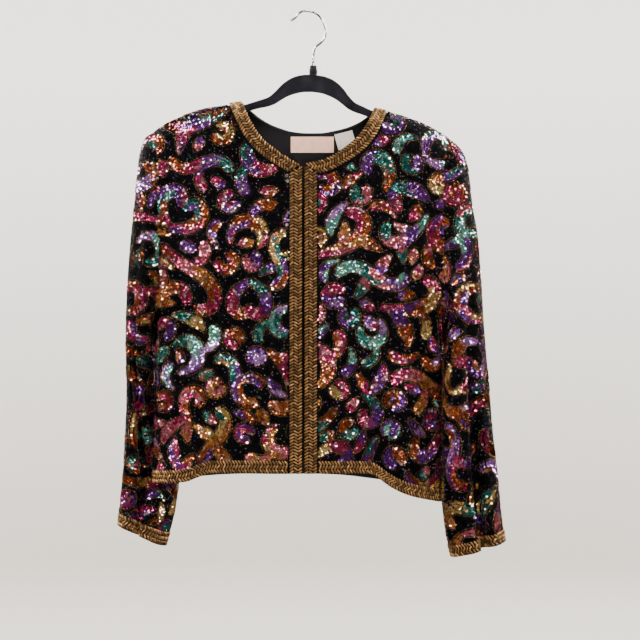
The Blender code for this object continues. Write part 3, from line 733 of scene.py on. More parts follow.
@dataclass
class SleeveTube:
    """A sleeve from its armhole to its cuff, with its seam along the inner line."""

    side: int
    front: ClothGrid
    back: ClothGrid

    def section(self, step: float) -> np.ndarray:
        """Points round the sleeve's section, from its inner line over the front and back to it."""
        rows = SLEEVES[self.side]
        knots = list(range(len(rows)))
        value = {
            name: soft(knots, [getattr(row, name) for row in rows], step) for name in Ring._fields
        }
        out = np.array((value["out_x"], value["y"], value["out_z"]))
        into = np.array((value["in_x"], value["y"], value["in_z"]))
        points = []
        for n in range(-ARM_ROWS * FINE, ARM_ROWS * FINE + 1):
            place = n / FINE
            angle = math.pi * place / ARM_ROWS
            wave = math.sin(angle)
            depth = value["front"] if wave > 0 else value["back"]
            forward = math.copysign(abs(wave) ** SECTION_SQUARE, wave) * depth
            forward -= value["crease"] * math.exp(-(((place - CREASE_PLACE) / CREASE_REACH) ** 2))
            forward += value["shear"] * math.cos(angle)
            reach = (out - into) / 2 * math.cos(angle)
            points.append((out + into) / 2 + reach + np.array((0.0, -forward, 0.0)))
        return np.array(points)

    def armhole(self) -> np.ndarray:
        """Points along the armhole, set off from the panels' edges by a seam's gap."""
        last = ARM_ROWS * FINE
        loop = [self.back.points[row, -1] for row in range(last, 0, -1)]
        loop += [self.front.points[row, -1] for row in range(last + 1)]
        loop = np.array(loop)
        loop[(0, last, -1), 1] = 0.0
        loop[:, 0] += self.side * 2 * SEAM
        loop[(0, -1), 0] += self.side * SEAM
        return loop

    def grid(self) -> ClothGrid:
        """Fine grid of the sleeve, with its flat places in millimetres."""
        lead = self.armhole() - self.section(0)
        points = np.array(
            [self.section(step) + lead * (1 - ease(step / CAP_RINGS)) for step in fine_steps()]
        )
        middle = points.mean(axis=1, keepdims=True)
        normals = facing(grid_normals(points, closed=True), points - middle)
        return ClothGrid(points, normals, lay_flat(points), closed=True)


class MeshMaker:
    """Meshes of walls, tubes and turned pieces, all at the origin and in metres."""

    @staticmethod
    def place(name: str, mesh: bmesh.types.BMesh, materials: Sequence[Material]) -> Item:
        """Object made from a bmesh, shaded smooth, with its materials.

        Args:
            name: Name of the piece.
            mesh: Its shape, which is freed.
            materials: Its materials, in slot order.

        Returns:
            The object, linked to the scene.
        """
        data = bpy.data.meshes.new(name)
        mesh.to_mesh(data)
        mesh.free()
        data.shade_smooth()
        data.set_sharp_from_angle(angle=math.radians(SMOOTH_ANGLE))
        for material in materials:
            data.materials.append(material)
        return link(name, data)

    @staticmethod
    def wall(
        name: str,
        patches: Sequence[tuple[np.ndarray, np.ndarray, np.ndarray]],
        materials: Sequence[Material],
    ) -> Item:
        """Closed wall from patches of outer points, inner points and flat places.

        Patches are joined where their outer points meet, and open edges are closed by rims.

        Args:
            name: Name of the piece.
            patches: Grids of outer points, inner points and flat places, in millimetres.
            materials: Finish of the outer face and rims, and of the inner face if it differs.

        Returns:
            The wall's object, with its flat places as a UV map in metres.
        """
        mesh = bmesh.new()
        cut = mesh.loops.layers.uv.new("Cut")
        pairs: dict[tuple, tuple] = {}
        edge_uses: Counter = Counter()
        edge_order: dict[frozenset, tuple] = {}
        inner_slot = min(1, len(materials) - 1)
        for outer, inner, flat in patches:
            rows, columns = outer.shape[:2]
            keys = [[tuple(np.round(outer[i, j], 4)) for j in range(columns)] for i in range(rows)]
            for i in range(rows):
                for j in range(columns):
                    if keys[i][j] not in pairs:
                        pairs[keys[i][j]] = (
                            mesh.verts.new(tuple(outer[i, j] * MM)),
                            mesh.verts.new(tuple(inner[i, j] * MM)),
                        )
            for i in range(rows - 1):
                for j in range(columns - 1):
                    spots = ((i, j), (i, j + 1), (i + 1, j + 1), (i + 1, j))
                    corners = [keys[a][b] for a, b in spots]
                    for skin in (0, 1):
                        face = mesh.faces.new([pairs[key][skin] for key in corners])
                        face.material_index = inner_slot * skin
                        for loop, (a, b) in zip(face.loops, spots):
                            loop[cut].uv = tuple(flat[a, b] * MM)
                    for a, b in zip(corners, corners[1:] + corners[:1]):
                        edge_uses[frozenset((a, b))] += 1
                        edge_order[frozenset((a, b))] = (a, b)
        for edge, uses in edge_uses.items():
            if uses == 1:
                a, b = edge_order[edge]
                mesh.faces.new((pairs[a][0], pairs[b][0], pairs[b][1], pairs[a][1]))
        bmesh.ops.recalc_face_normals(mesh, faces=mesh.faces)
        return MeshMaker.place(name, mesh, materials)

    @staticmethod
    def sweep(
        name: str,
        rings: Sequence[Sequence[tuple[float, float, float]]],
        materials: Sequence[Material],
    ) -> Item:
        """Closed body from rings of points in millimetres, with both ends filled."""
        mesh = bmesh.new()
        made = [[mesh.verts.new(tuple(c * MM for c in point)) for point in ring] for ring in rings]
        for ring, following in zip(made, made[1:]):
            for k in range(len(ring)):
                n = (k + 1) % len(ring)
                mesh.faces.new((ring[k], ring[n], following[n], following[k]))
        mesh.faces.new(made[0])
        mesh.faces.new(made[-1])
        bmesh.ops.recalc_face_normals(mesh, faces=mesh.faces)
        return MeshMaker.place(name, mesh, materials)


class NodeWork:
    """A tree of nodes, with short calls to add and join them."""

    def __init__(self, tree: bpy.types.NodeTree) -> None:
        """Take up a tree."""
        self.tree = tree

    def add(self, kind: str, values: dict | None = None, **settings: object) -> bpy.types.Node:
        """Add a node.

        Args:
            kind: Type name of the node.
            values: Value or incoming socket for each of its inputs, by name or number.
            **settings: Properties of the node.

        Returns:
            The node.
        """
        node = self.tree.nodes.new(kind)
        for name, value in settings.items():
            setattr(node, name, value)
        for key, value in (values or {}).items():
            self.feed(node, key, value)
        return node

    def feed(self, node: bpy.types.Node, key: str | int, value: object) -> None:
        """Set an input of a node, or join an output to it."""
        socket = node.inputs[key]
        if isinstance(value, Socket):
            self.tree.links.new(value, socket)
        else:
            socket.default_value = value

    def combine(self, first: object, second: object, operation: str = "MULTIPLY") -> Socket:
        """Result of one step of arithmetic on two values or sockets."""
        node = self.add("ShaderNodeMath", {0: first, 1: second}, operation=operation)
        return node.outputs[0]


class NodeBench(NodeWork):
    """A material's nodes, around its principled shader."""

    def __init__(self, name: str) -> None:
        """Start a material with its principled shader."""
        self.material = bpy.data.materials.new(name)
        self.material.use_nodes = True
        super().__init__(self.material.node_tree)
        self.shader = self.tree.nodes["Principled BSDF"]

    def dress(self, **values: object) -> None:
        """Set the shader's inputs; an underscore in a name stands for a space."""
        for name, value in values.items():
            self.feed(self.shader, name.replace("_", " "), value)

    def places(self, uv_map: str | None = None) -> Socket:
        """Where the surface is: on the piece's own UV map, or in the jacket's frame."""
        if uv_map:
            return self.add("ShaderNodeUVMap", uv_map=uv_map).outputs["UV"]
        return self.add("ShaderNodeTexCoord").outputs["Object"]

    def noise(self, where: Socket, scale: float, detail: float = 3.0) -> Socket:
        """Cloudy value from 0 to 1."""
        node = self.add("ShaderNodeTexNoise", {"Vector": where, "Scale": scale, "Detail": detail})
        return node.outputs["Fac"]

    def ramp(self, value: Socket, *stops: tuple[float, tuple]) -> Socket:
        """Colours laid along a value."""
        node = self.add("ShaderNodeValToRGB", {"Fac": value})
        while len(node.color_ramp.elements) < len(stops):
            node.color_ramp.elements.new(1.0)
        for element, (place, colour) in zip(node.color_ramp.elements, stops):
            element.position = place
            element.color = (*colour, 1.0)
        return node.outputs["Color"]

    def bump(self, height: Socket, depth: float, strength: float = 1.0) -> None:
        """Raise the surface by a value, to a depth in metres."""
        node = self.add("ShaderNodeBump", {"Height": height, "Distance": depth, "Strength": strength})
        self.feed(self.shader, "Normal", node.outputs["Normal"])


@dataclass(frozen=True)
class BeadGround:
    """Black silk under the beads, with the dark gloss of the beads sewn on it."""

    deep: tuple = (0.0004, 0.0003, 0.0005)
    light: tuple = (0.0014, 0.001, 0.0016)
    bead: float = 0.0024

    def make(self) -> Material:
        """Build the finish."""
        bench = NodeBench("bead_ground")
        where = bench.places("Cut")
        cells = bench.add(
            "ShaderNodeTexVoronoi", {"Vector": where, "Scale": 1 / self.bead}, feature="F1"
        )
        clouds = bench.noise(where, scale=60.0)
        bench.dress(
            Base_Color=bench.ramp(clouds, (0.35, self.deep), (0.7, self.light)),
            Roughness=0.6,
            Specular_IOR_Level=0.05,
        )
        bench.bump(bench.combine(cells.outputs["Distance"], -1.0), 0.0008)
        return bench.material


@dataclass(frozen=True)
class SatinLining:
    """Black lining satin, with its fine weave and the soft light of its floats."""

    deep: tuple = (0.003, 0.002, 0.0026)
    light: tuple = (0.008, 0.0055, 0.0065)
    threads: float = 2600.0

    def make(self) -> Material:
        """Build the finish."""
        bench = NodeBench("satin_lining")
        where = bench.places("Cut")
        clouds = bench.noise(where, scale=22.0, detail=4.0)
        bench.dress(
            Base_Color=bench.ramp(clouds, (0.3, self.deep), (0.75, self.light)),
            Roughness=0.42,
            Specular_IOR_Level=0.2,
            Anisotropic=0.4,
        )
        weave = bench.add(
            "ShaderNodeTexWave", {"Vector": where, "Scale": self.threads / 20, "Distortion": 0.6}
        )
        bench.bump(bench.combine(bench.combine(weave.outputs["Fac"], 0.08), clouds, "ADD"), 0.0004, 0.5)
        return bench.material


@dataclass(frozen=True)
class BraidTape:
    """Bronze tape that carries the braid's beads."""

    deep: tuple = (0.012, 0.006, 0.003)
    light: tuple = (0.05, 0.026, 0.01)

    def make(self) -> Material:
        """Build the finish."""
        bench = NodeBench("braid_tape")
        where = bench.places()
        clouds = bench.noise(where, scale=420.0)
        bench.dress(
            Base_Color=bench.ramp(clouds, (0.35, self.deep), (0.7, self.light)),
            Roughness=0.75,
            Metallic=0.35,
            Specular_IOR_Level=0.1,
        )
        bench.bump(clouds, 0.0004)
        return bench.material


@dataclass(frozen=True)
class TintedBead:
    """Glass, metal or foil whose colour each bead or sequin carries with it."""

    name: str
    roughness: float
    metallic: float
    coat: float = 0.0
    specular: float = 0.5

    def make(self) -> Material:
        """Build the finish."""
        bench = NodeBench(self.name)
        tint = bench.add("ShaderNodeAttribute", attribute_name="tint")
        bench.dress(
            Base_Color=tint.outputs["Color"],
            Roughness=self.roughness,
            Metallic=self.metallic,
            Coat_Weight=self.coat,
            Coat_Roughness=0.08,
            Specular_IOR_Level=self.specular,
        )
        return bench.material


@dataclass(frozen=True)
class WovenLabel:
    """Plain woven label cloth, blank, with the ribs of its weft."""

    name: str
    deep: tuple
    light: tuple
    ribs: float = 1500.0

    def make(self) -> Material:
        """Build the finish."""
        bench = NodeBench(self.name)
        where = bench.places()
        clouds = bench.noise(where, scale=160.0)
        ribs = bench.add(
            "ShaderNodeTexWave",
            {"Vector": where, "Scale": self.ribs / 6.28, "Distortion": 0.4},
            bands_direction="Z",
        )
        blend = bench.combine(bench.combine(ribs.outputs["Fac"], 0.4), clouds, "ADD")
        bench.dress(
            Base_Color=bench.ramp(blend, (0.3, self.deep), (0.95, self.light)),
            Roughness=0.72,
            Sheen_Weight=0.3,
        )
        bench.bump(ribs.outputs["Fac"], 0.00015, 0.7)
        return bench.material


@dataclass(frozen=True)
class BlackFlock:
    """Short black flock, rubbed a little lighter in places."""

    deep: tuple = (0.003, 0.003, 0.0045)
    light: tuple = (0.012, 0.012, 0.017)

    def make(self) -> Material:
        """Build the finish."""
        bench = NodeBench("black_flock")
        where = bench.places()
        nap = bench.noise(where, scale=2600.0, detail=2.0)
        rubbed = bench.noise(where, scale=45.0, detail=4.0)
        blend = bench.combine(bench.combine(rubbed, 0.7), bench.combine(nap, 0.3), "ADD")
        bench.dress(
            Base_Color=bench.ramp(blend, (0.35, self.deep), (0.7, self.light)),
            Roughness=0.95,
            Specular_IOR_Level=0.1,
            Sheen_Weight=0.08,
            Sheen_Roughness=0.5,
        )
        bench.bump(nap, 0.0003)
        return bench.material


@dataclass(frozen=True)
class PlatedMetal:
    """Bright plated metal, with faint drawing marks."""

    name: str = "chrome_wire"
    colour: tuple = (0.72, 0.73, 0.75, 1.0)

    def make(self) -> Material:
        """Build the finish."""
        bench = NodeBench(self.name)
        marks = bench.noise(bench.places(), scale=900.0, detail=2.0)
        rough = bench.add("ShaderNodeMapRange", {"Value": marks, "To Min": 0.1, "To Max": 0.24})
        bench.dress(Base_Color=self.colour, Metallic=1.0, Roughness=rough.outputs["Result"])
        bench.bump(marks, 0.00003, 0.5)
        return bench.material


@dataclass(frozen=True)
class RoomPaintWithPaintedShade:
    """Matt paint of the room, a little darker towards its floor: painted shade for the light that falls
    off lower down.
    """

    low: tuple = (0.46, 0.43, 0.375)
    high: tuple = (0.95, 0.925, 0.89)
    painted_shade_heights: tuple = (-1.3, 0.6)

    def make(self) -> Material:
        """Build the finish."""
        bench = NodeBench("room_paint")
        height = bench.add("ShaderNodeSeparateXYZ", {"Vector": bench.places()})
        share = bench.add(
            "ShaderNodeMapRange",
            {"Value": height.outputs["Z"], "From Min": self.painted_shade_heights[0], "From Max": self.painted_shade_heights[1]},
        )
        # Painted shade: the colour runs from the dark low colour at the floor to the light high one
        # above.
        bench.dress(
            Base_Color=bench.ramp(share.outputs["Result"], (0.0, self.low), (1.0, self.high)),
            Roughness=0.9,
            Specular_IOR_Level=0.1,
        )
        return bench.material


def wear(item: Item, slot: str, *nodes: str) -> Item:
    """Let a finished piece ride with the jacket, in place of the plain solids it stands for.

    Args:
        item: The finished piece.
        slot: The record's material slot; not used.
        *nodes: Plain solids that it replaces.

    Returns:
        The piece.
    """
    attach(item, "root")
    if nodes:
        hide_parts(*nodes)
    LOG.info("%s: %d faces", item.name, len(item.data.polygons))
    return item


LINING_LIFT = 0.9
LINING_THICKNESS = 1.0
LINING_TOP_DROP = 1.0
LINING_BOTTOM = -300.0
LINING_EDGES = (-78.0, 73.0)
LINING_PLEATS = table(
    Wrinkle,
    (1.9, 4.7, 45, 2.8, 0.2, 1.3), (2.6, 8.3, -30, 2.4, 0.3, 0.8),
)
LABEL_LIFT = 0.8
LABEL_THICKNESS = 0.6


class LabelCut(NamedTuple):
    """Place, size and turn of a label inside the back neck."""

    x: float
    z: float
    width: float
    height: float
    turn: float


NECK_LABEL = LabelCut(x=3.7, z=-179.0, width=60.0, height=22.0, turn=0.0)
CARE_TAG = LabelCut(x=50.0, z=-172.5, width=26.0, height=22.5, turn=15.0)

HANGER_TOP = Place(5.2, -86.0)
HANGER_TILT = 3.6
HANGER_THICKNESS = 5.0


class Arm(NamedTuple):
    """Upper and lower edge of the hanger at a distance from its middle."""

    reach: float
    top: float
    bottom: float


HANGER_ARM = table(
    Arm,
    (0, 0, -24), (12, -0.8, -25), (24, -3.8, -28.2), (34, -9.2, -32.6), (43, -17, -38.6),
    (51, -26.5, -44.2), (60, -34.8, -48), (72, -39.8, -51.2), (88, -46, -56.8), (114, -56, -66.8),
    (140, -66.5, -77.2), (165, -78, -88.5), (185, -89, -99.5), (196, -97, -105),
    (200, -101, -104.5),
)
WIRE_RADIUS = 1.65
HOOK_ROUTE = table(
    Place,
    (-26.0, -11.2), (-22.2, -9.4), (-18.6, -6.4), (-15.4, -1.9), (-10.5, 1.0), (-4.6, 2.0),
    (0.0, 1.65), (6.6, -0.2), (13.6, -5.0), (19.0, -13.2), (22.4, -24.6), (20.8, -34.6),
    (15.2, -42.4), (8.6, -47.6), (6.0, -54.0), (5.2, -63.0), (5.2, -79.2),
)


def catmull(values: Sequence[float], at: float) -> float:
    """Value on a round curve through evenly numbered points."""
    k = min(int(at), len(values) - 2)
    t = at - k
    p = [values[min(max(k + n, 0), len(values) - 1)] for n in (-1, 0, 1, 2)]
    return 0.5 * (
        2 * p[1]
        + (p[2] - p[0]) * t
        + (2 * p[0] - 5 * p[1] + 4 * p[2] - p[3]) * t * t
        + (3 * p[1] - p[0] - 3 * p[2] + p[3]) * t**3
    )


@dataclass
class Hanger:
    """Flocked hanger with its collar and its plated wire hook."""

    edge: float = 1.9
    edge_steps: int = 4
    arm_steps: int = 4
    hook_steps: int = 6
    wire_sides: int = 20
    collar_sides: int = 40
    collar_profile: tuple = (
        (1.95, -79.5), (1.95, -74.0), (2.4, -73.5), (4.3, -73.5), (4.8, -74.1), (4.8, -78.1),
        (5.3, -78.6), (5.6, -79.4), (5.6, -85.7),
    )

    def section(self, row: Arm) -> list[tuple[float, float]]:
        """Rounded section of the bar at one place along an arm, as depth and height."""
        half = HANGER_THICKNESS / 2
        cut = min(self.edge, (row.top - row.bottom) / 3)
        corners = (
            (half - cut, row.top - cut, 0),
            (cut - half, row.top - cut, 90),
            (cut - half, row.bottom + cut, 180),
            (half - cut, row.bottom + cut, 270),
        )
        points = []
        for y, z, start in corners:
            for n in range(self.edge_steps + 1):
                angle = math.radians(start + 90 * n / self.edge_steps)
                points.append((y + cut * math.cos(angle), z + cut * math.sin(angle)))
        return points

    def bar(self, material: Material) -> Item:
        """The flocked bar."""
        knots = [row.reach for row in HANGER_ARM]
        tops = [row.top for row in HANGER_ARM]
        bottoms = [row.bottom for row in HANGER_ARM]
        reaches = sorted(
            {
                side * (a + (b - a) * n / self.arm_steps)
                for a, b in zip(knots, knots[1:])
                for n in range(self.arm_steps + 1)
                for side in (-1, 1)
            }
        )
        tilt = math.radians(-HANGER_TILT)
        rings = []
        for reach in reaches:
            row = Arm(reach, soft(knots, tops, abs(reach)), soft(knots, bottoms, abs(reach)))
            rings.append(
                [
                    (
                        HANGER_TOP.x + reach * math.cos(tilt) - z * math.sin(tilt),
                        y,
                        HANGER_TOP.z + reach * math.sin(tilt) + z * math.cos(tilt),
                    )
                    for y, z in self.section(row)
                ]
            )
        return MeshMaker.sweep("hanger_bar", rings, [material])

    def hook(self, material: Material) -> Item:
        """The plated wire, as one round tube along its route."""
        steps = np.linspace(0, len(HOOK_ROUTE) - 1, (len(HOOK_ROUTE) - 1) * self.hook_steps + 1)
        route = np.array(
            [
                (catmull([p.x for p in HOOK_ROUTE], at), catmull([p.z for p in HOOK_ROUTE], at))
                for at in steps
            ]
        )
        along = unit(np.gradient(route, axis=0))
        rings = []
        for (x, z), (dx, dz) in zip(route, along):
            ring = []
            for cosine, sine in circle(self.wire_sides):
                out = WIRE_RADIUS * cosine
                ring.append((x - dz * out, WIRE_RADIUS * sine, z + dx * out))
            rings.append(ring)
        return MeshMaker.sweep("wire_hook", rings, [material])

    def collar(self, material: Material) -> Item:
        """The collar that the wire goes into."""
        round_it = circle(self.collar_sides)
        rings = [
            [(HANGER_TOP.x + radius * cosine, radius * sine, z) for cosine, sine in round_it]
            for radius, z in self.collar_profile
        ]
        return MeshMaker.sweep("wire_collar", rings, [material])

    def build(self) -> None:
        """Make and dress the hanger's three pieces."""
        flock = BlackFlock().make()
        wear(self.bar(flock), "flock", "hanger")
        wear(self.collar(flock), "flock", "hook_collar")
        wear(self.hook(PlatedMetal().make()), "wire", "hanger_hook")


@dataclass
class NeckLining:
    """Lining and blank labels that show inside the back neck."""

    columns: int = 48
    rows: int = 28
    label_columns: int = 24
    label_rows: int = 8

    @staticmethod
    def patch(places: Sequence[Sequence[tuple[float, float]]], lift: float) -> ClothGrid:
        """Grid inside the back, moved in from the cloth.

        Args:
            places: Rows of places in the front view, as x and z.
            lift: How far inside the cloth's inner face the grid lies.

        Returns:
            The grid, with its normals pointing into the jacket.
        """
        points = []
        normals = []
        for row in places:
            ways = [(x, way_down(x, z, BACK)) for x, z in row]
            normals.append([-shell_normal(*way) for way in ways])
            points.append([shell_point(*way) for way in ways])
        normals = np.array(normals)
        points = np.array(points) + normals * (CLOTH + lift)
        return ClothGrid(points, normals, np.array(places))

    def lining(self, material: Material) -> Item:
        """The back lining, from the neckline down."""
        places = []
        for row in range(self.rows + 1):
            line = []
            for column in range(self.columns + 1):
                share = column / self.columns
                x = LINING_EDGES[0] + (LINING_EDGES[1] - LINING_EDGES[0]) * share
                top = edge_z(BACK_NECKLINE, x) - LINING_TOP_DROP
                line.append((x, top + (LINING_BOTTOM - top) * row / self.rows))
            places.append(line)
        grid = self.patch(places, LINING_LIFT)
        grid.press(LINING_PLEATS)
        return MeshMaker.wall(
            "back_neck_lining_satin", [grid.wall(LINING_THICKNESS, LINING_THICKNESS)], [material]
        )

    def label(self, name: str, cut: LabelCut, material: Material) -> Item:
        """A woven label sewn to the lining, blank."""
        turn = math.radians(cut.turn)
        places = []
        for row in range(self.label_rows + 1):
            line = []
            for column in range(self.label_columns + 1):
                a = cut.width * (column / self.label_columns - 0.5)
                b = cut.height * (0.5 - row / self.label_rows)
                x = cut.x + a * math.cos(turn) - b * math.sin(turn)
                z = cut.z + a * math.sin(turn) + b * math.cos(turn)
                line.append((x, z))
            places.append(line)
        grid = self.patch(places, LINING_LIFT + LINING_THICKNESS + LABEL_LIFT)
        return MeshMaker.wall(name, [grid.wall(LABEL_THICKNESS, LABEL_THICKNESS)], [material])

    def build(self, satin: Material) -> None:
        """Make and dress the lining and the labels.

        Args:
            satin: The lining's finish.
        """
        lining = wear(self.lining(satin), "lining", "back_neck_lining")
        pink = WovenLabel("label_weave", (0.8, 0.43, 0.3), (0.95, 0.58, 0.43)).make()
        white = WovenLabel("tag_weave", (0.6, 0.52, 0.46), (0.78, 0.69, 0.61)).make()
        wear(self.label("neck_label_woven", NECK_LABEL, pink), "label_cloth", "neck_label")
        wear(self.label("care_tag_woven", CARE_TAG, white), "tag_cloth", "care_tag")


NECK_STATIONS = 9
NECK_BACK_STATIONS = 16


def neck_path(fine: int = 1) -> np.ndarray:
    """Neckline from one centre-front edge round the back to the other, as x and way down."""

    def front_part(side: int) -> list[tuple[float, float]]:
        """The front neckline on one side, from the middle up."""
        last = FRONT_NECKLINE[-1] if side == LEFT else FRONT_NECKLINE[0]
        ends = (CENTRE_X + side * FRONT_GAP, last.x)
        places = []
        for n in range(NECK_STATIONS * fine):
            x = ends[0] + (ends[1] - ends[0]) * math.sin(math.pi / 2 * n / (NECK_STATIONS * fine))
            places.append((x, way_down(x, edge_z(FRONT_NECKLINE, x), FRONT)))
        return places

    count = NECK_BACK_STATIONS * fine
    left_x, right_x = FRONT_NECKLINE[-1].x, FRONT_NECKLINE[0].x
    back_part = []
    for n in range(count + 1):
        x = left_x + (right_x - left_x) * (1 - math.cos(math.pi * n / count)) / 2
        back_part.append((x, way_down(x, edge_z(BACK_NECKLINE, x), BACK)))
    back_part[0] = (left_x, 0.0)
    back_part[-1] = (right_x, 0.0)
    return np.array([*front_part(LEFT), *back_part, *reversed(front_part(RIGHT))])


def neck_band(strips: int = 8) -> ClothGrid:
    """Grid of the neckline's band of braid, mitred at the centre front.

    Args:
        strips: How many strips it has across.

    Returns:
        The grid, with the neckline in its first column.
    """
    path = neck_path(FINE)
    along = np.gradient(path, axis=0)
    outward = unit(np.stack((-along[:, 1], along[:, 0]), axis=1))
    if np.sum(outward * (path - np.array((CENTRE_X, 0.0)))) < 0:
        outward = -outward
    outward *= TRIM_WIDTH
    for end, side in ((0, LEFT), (-1, RIGHT)):
        outward[end] = (side * TRIM_WIDTH, MITRE_DROP)
    for n in range(1, FINE):
        share = n / FINE
        for end, sign in ((0, 1), (-1, -1)):
            near = outward[end]
            far = outward[end + sign * FINE]
            outward[end + sign * n] = near * (1 - share) + far * share
    places = path[:, None] + outward[:, None] * np.linspace(0, 1, strips + 1)[None, :, None]
    points = np.array([[shell_point(*place) for place in row] for row in places])
    normals = np.array([[shell_normal(*place) for place in row] for row in places])
    length = lengths(points[:, 0])
    flat = np.stack(
        np.broadcast_arrays(length[:, None], np.linspace(0, TRIM_WIDTH, strips + 1)[None]), axis=2
    )
    return ClothGrid(points + normals * (NECK_TRIM_LIFT - LAY), normals, flat)


@dataclass
class Piece:
    """A piece of the jacket's cloth, with all that is sewn on it."""

    node: str
    grids: list[ClothGrid]
    cloth: Item | None = None
    sewn: list[Item] = field(default_factory=list)

    def declare(self) -> None:
        """Log the piece's name, with the size and area of its flat pattern."""
        flat = np.concatenate([grid.flat.reshape(-1, 2) for grid in self.grids])
        width, length = (flat.max(axis=0) - flat.min(axis=0)) * MM
        area = sum(grid.area() for grid in self.grids)
        LOG.info("%s: %.3f x %.3f m, %.4f m2", self.node, width, length, area)
        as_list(self.sewn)


class Hue(Enum):
    """Colours of the sequins, as linear red, green and blue."""

    VIOLET = (0.11, 0.025, 0.16)
    LAVENDER = (0.34, 0.15, 0.4)
    TEAL = (0.025, 0.12, 0.1)
    MINT = (0.14, 0.36, 0.29)
    MAGENTA = (0.27, 0.02, 0.07)
    ROSE = (0.44, 0.1, 0.13)
    COPPER = (0.25, 0.055, 0.016)
    AMBER = (0.38, 0.14, 0.035)
    GOLD = (0.46, 0.29, 0.09)


HUE_RUNS = (
    (Hue.VIOLET, Hue.LAVENDER, Hue.MINT, Hue.TEAL),
    (Hue.COPPER, Hue.MAGENTA, Hue.VIOLET, Hue.LAVENDER),
    (Hue.MAGENTA, Hue.ROSE, Hue.AMBER, Hue.COPPER),
    (Hue.TEAL, Hue.VIOLET, Hue.MAGENTA, Hue.COPPER),
    (Hue.GOLD, Hue.AMBER, Hue.COPPER, Hue.VIOLET, Hue.TEAL),
    (Hue.VIOLET, Hue.COPPER, Hue.GOLD, Hue.MAGENTA),
    (Hue.TEAL, Hue.MINT, Hue.VIOLET, Hue.ROSE),
    (Hue.COPPER, Hue.TEAL, Hue.VIOLET, Hue.MAGENTA),
)


class Scroll(NamedTuple):
    """A stroke of a motif: its length, its bend in degrees a millimetre and its width along it."""

    length: float
    bends: tuple[float, ...]
    widths: tuple[float, ...]


class Branch(NamedTuple):
    """A stroke that springs from another: where along it, at what angle, and bent which way."""

    scroll: Scroll
    at: float
    turn: float
    mirror: int


class Motif(NamedTuple):
    """A scroll and the strokes that spring from it."""

    stem: Scroll
    branches: tuple[Branch, ...] = ()


SWEEP = Scroll(142, (-0.8, -0.4, 0.6, 2.4, 5.4), (9, 15, 18, 17, 14))
HOOK = Scroll(112, (0.2, 0.5, 1.2, 3.6, 5.6), (8, 14, 19, 18, 15))
CURL = Scroll(84, (0.8, 1.6, 3.2, 5.2, 6.4), (8, 15, 18, 17, 15))
WAVE = Scroll(108, (4.6, 2.4, 0.0, -2.4, -4.6), (14, 16, 18, 16, 14))
CRESCENT = Scroll(86, (2.0, 2.5, 2.9, 2.6), (6, 17, 19, 8))
PLUME = Scroll(60, (0.5, 0.9, 1.3, 1.5), (5, 16, 20, 5))
COMMA = Scroll(46, (1.0, 2.6, 4.8), (5, 14, 16))
RING = Scroll(54, (5.6, 6.0, 6.4), (12, 14, 14))
LEAF = Scroll(36, (0.8, 1.2, 1.6), (5, 16, 5))
DROP = Scroll(22, (0.0, 0.6, 0.6), (11, 15, 10))
LARGE_MOTIFS = (
    Motif(SWEEP, (Branch(COMMA, 0.34, -38, -1),)),
    Motif(SWEEP, (Branch(CURL, 0.02, 152, 1),)),
    Motif(WAVE, (Branch(COMMA, 0.46, 40, 1),)),
    Motif(HOOK, (Branch(PLUME, 0.1, -34, -1), Branch(COMMA, 0.42, -46, -1))),
    Motif(WAVE, (Branch(LEAF, 0.42, 64, 1), Branch(LEAF, 0.58, -116, 1))),
    Motif(CURL, (Branch(CURL, 0.02, 148, -1),)),
    Motif(HOOK, (Branch(LEAF, 0.3, 44, 1), Branch(LEAF, 0.5, -44, -1))),
    Motif(CRESCENT, (Branch(COMMA, 0.5, -78, 1),)),
    Motif(CURL, (Branch(PLUME, 0.05, -58, -1), Branch(LEAF, 0.05, -112, -1))),
)
MIDDLE_MOTIFS = (
    Motif(CURL),
    Motif(WAVE),
    Motif(PLUME, (Branch(LEAF, 0.1, 52, 1), Branch(LEAF, 0.1, -52, -1))),
    Motif(COMMA, (Branch(COMMA, 0.04, 140, -1),)),
    Motif(RING),
)
SMALL_MOTIFS = (Motif(COMMA), Motif(PLUME), Motif(CRESCENT))
FILLERS = (Motif(LEAF), Motif(DROP), Motif(COMMA))


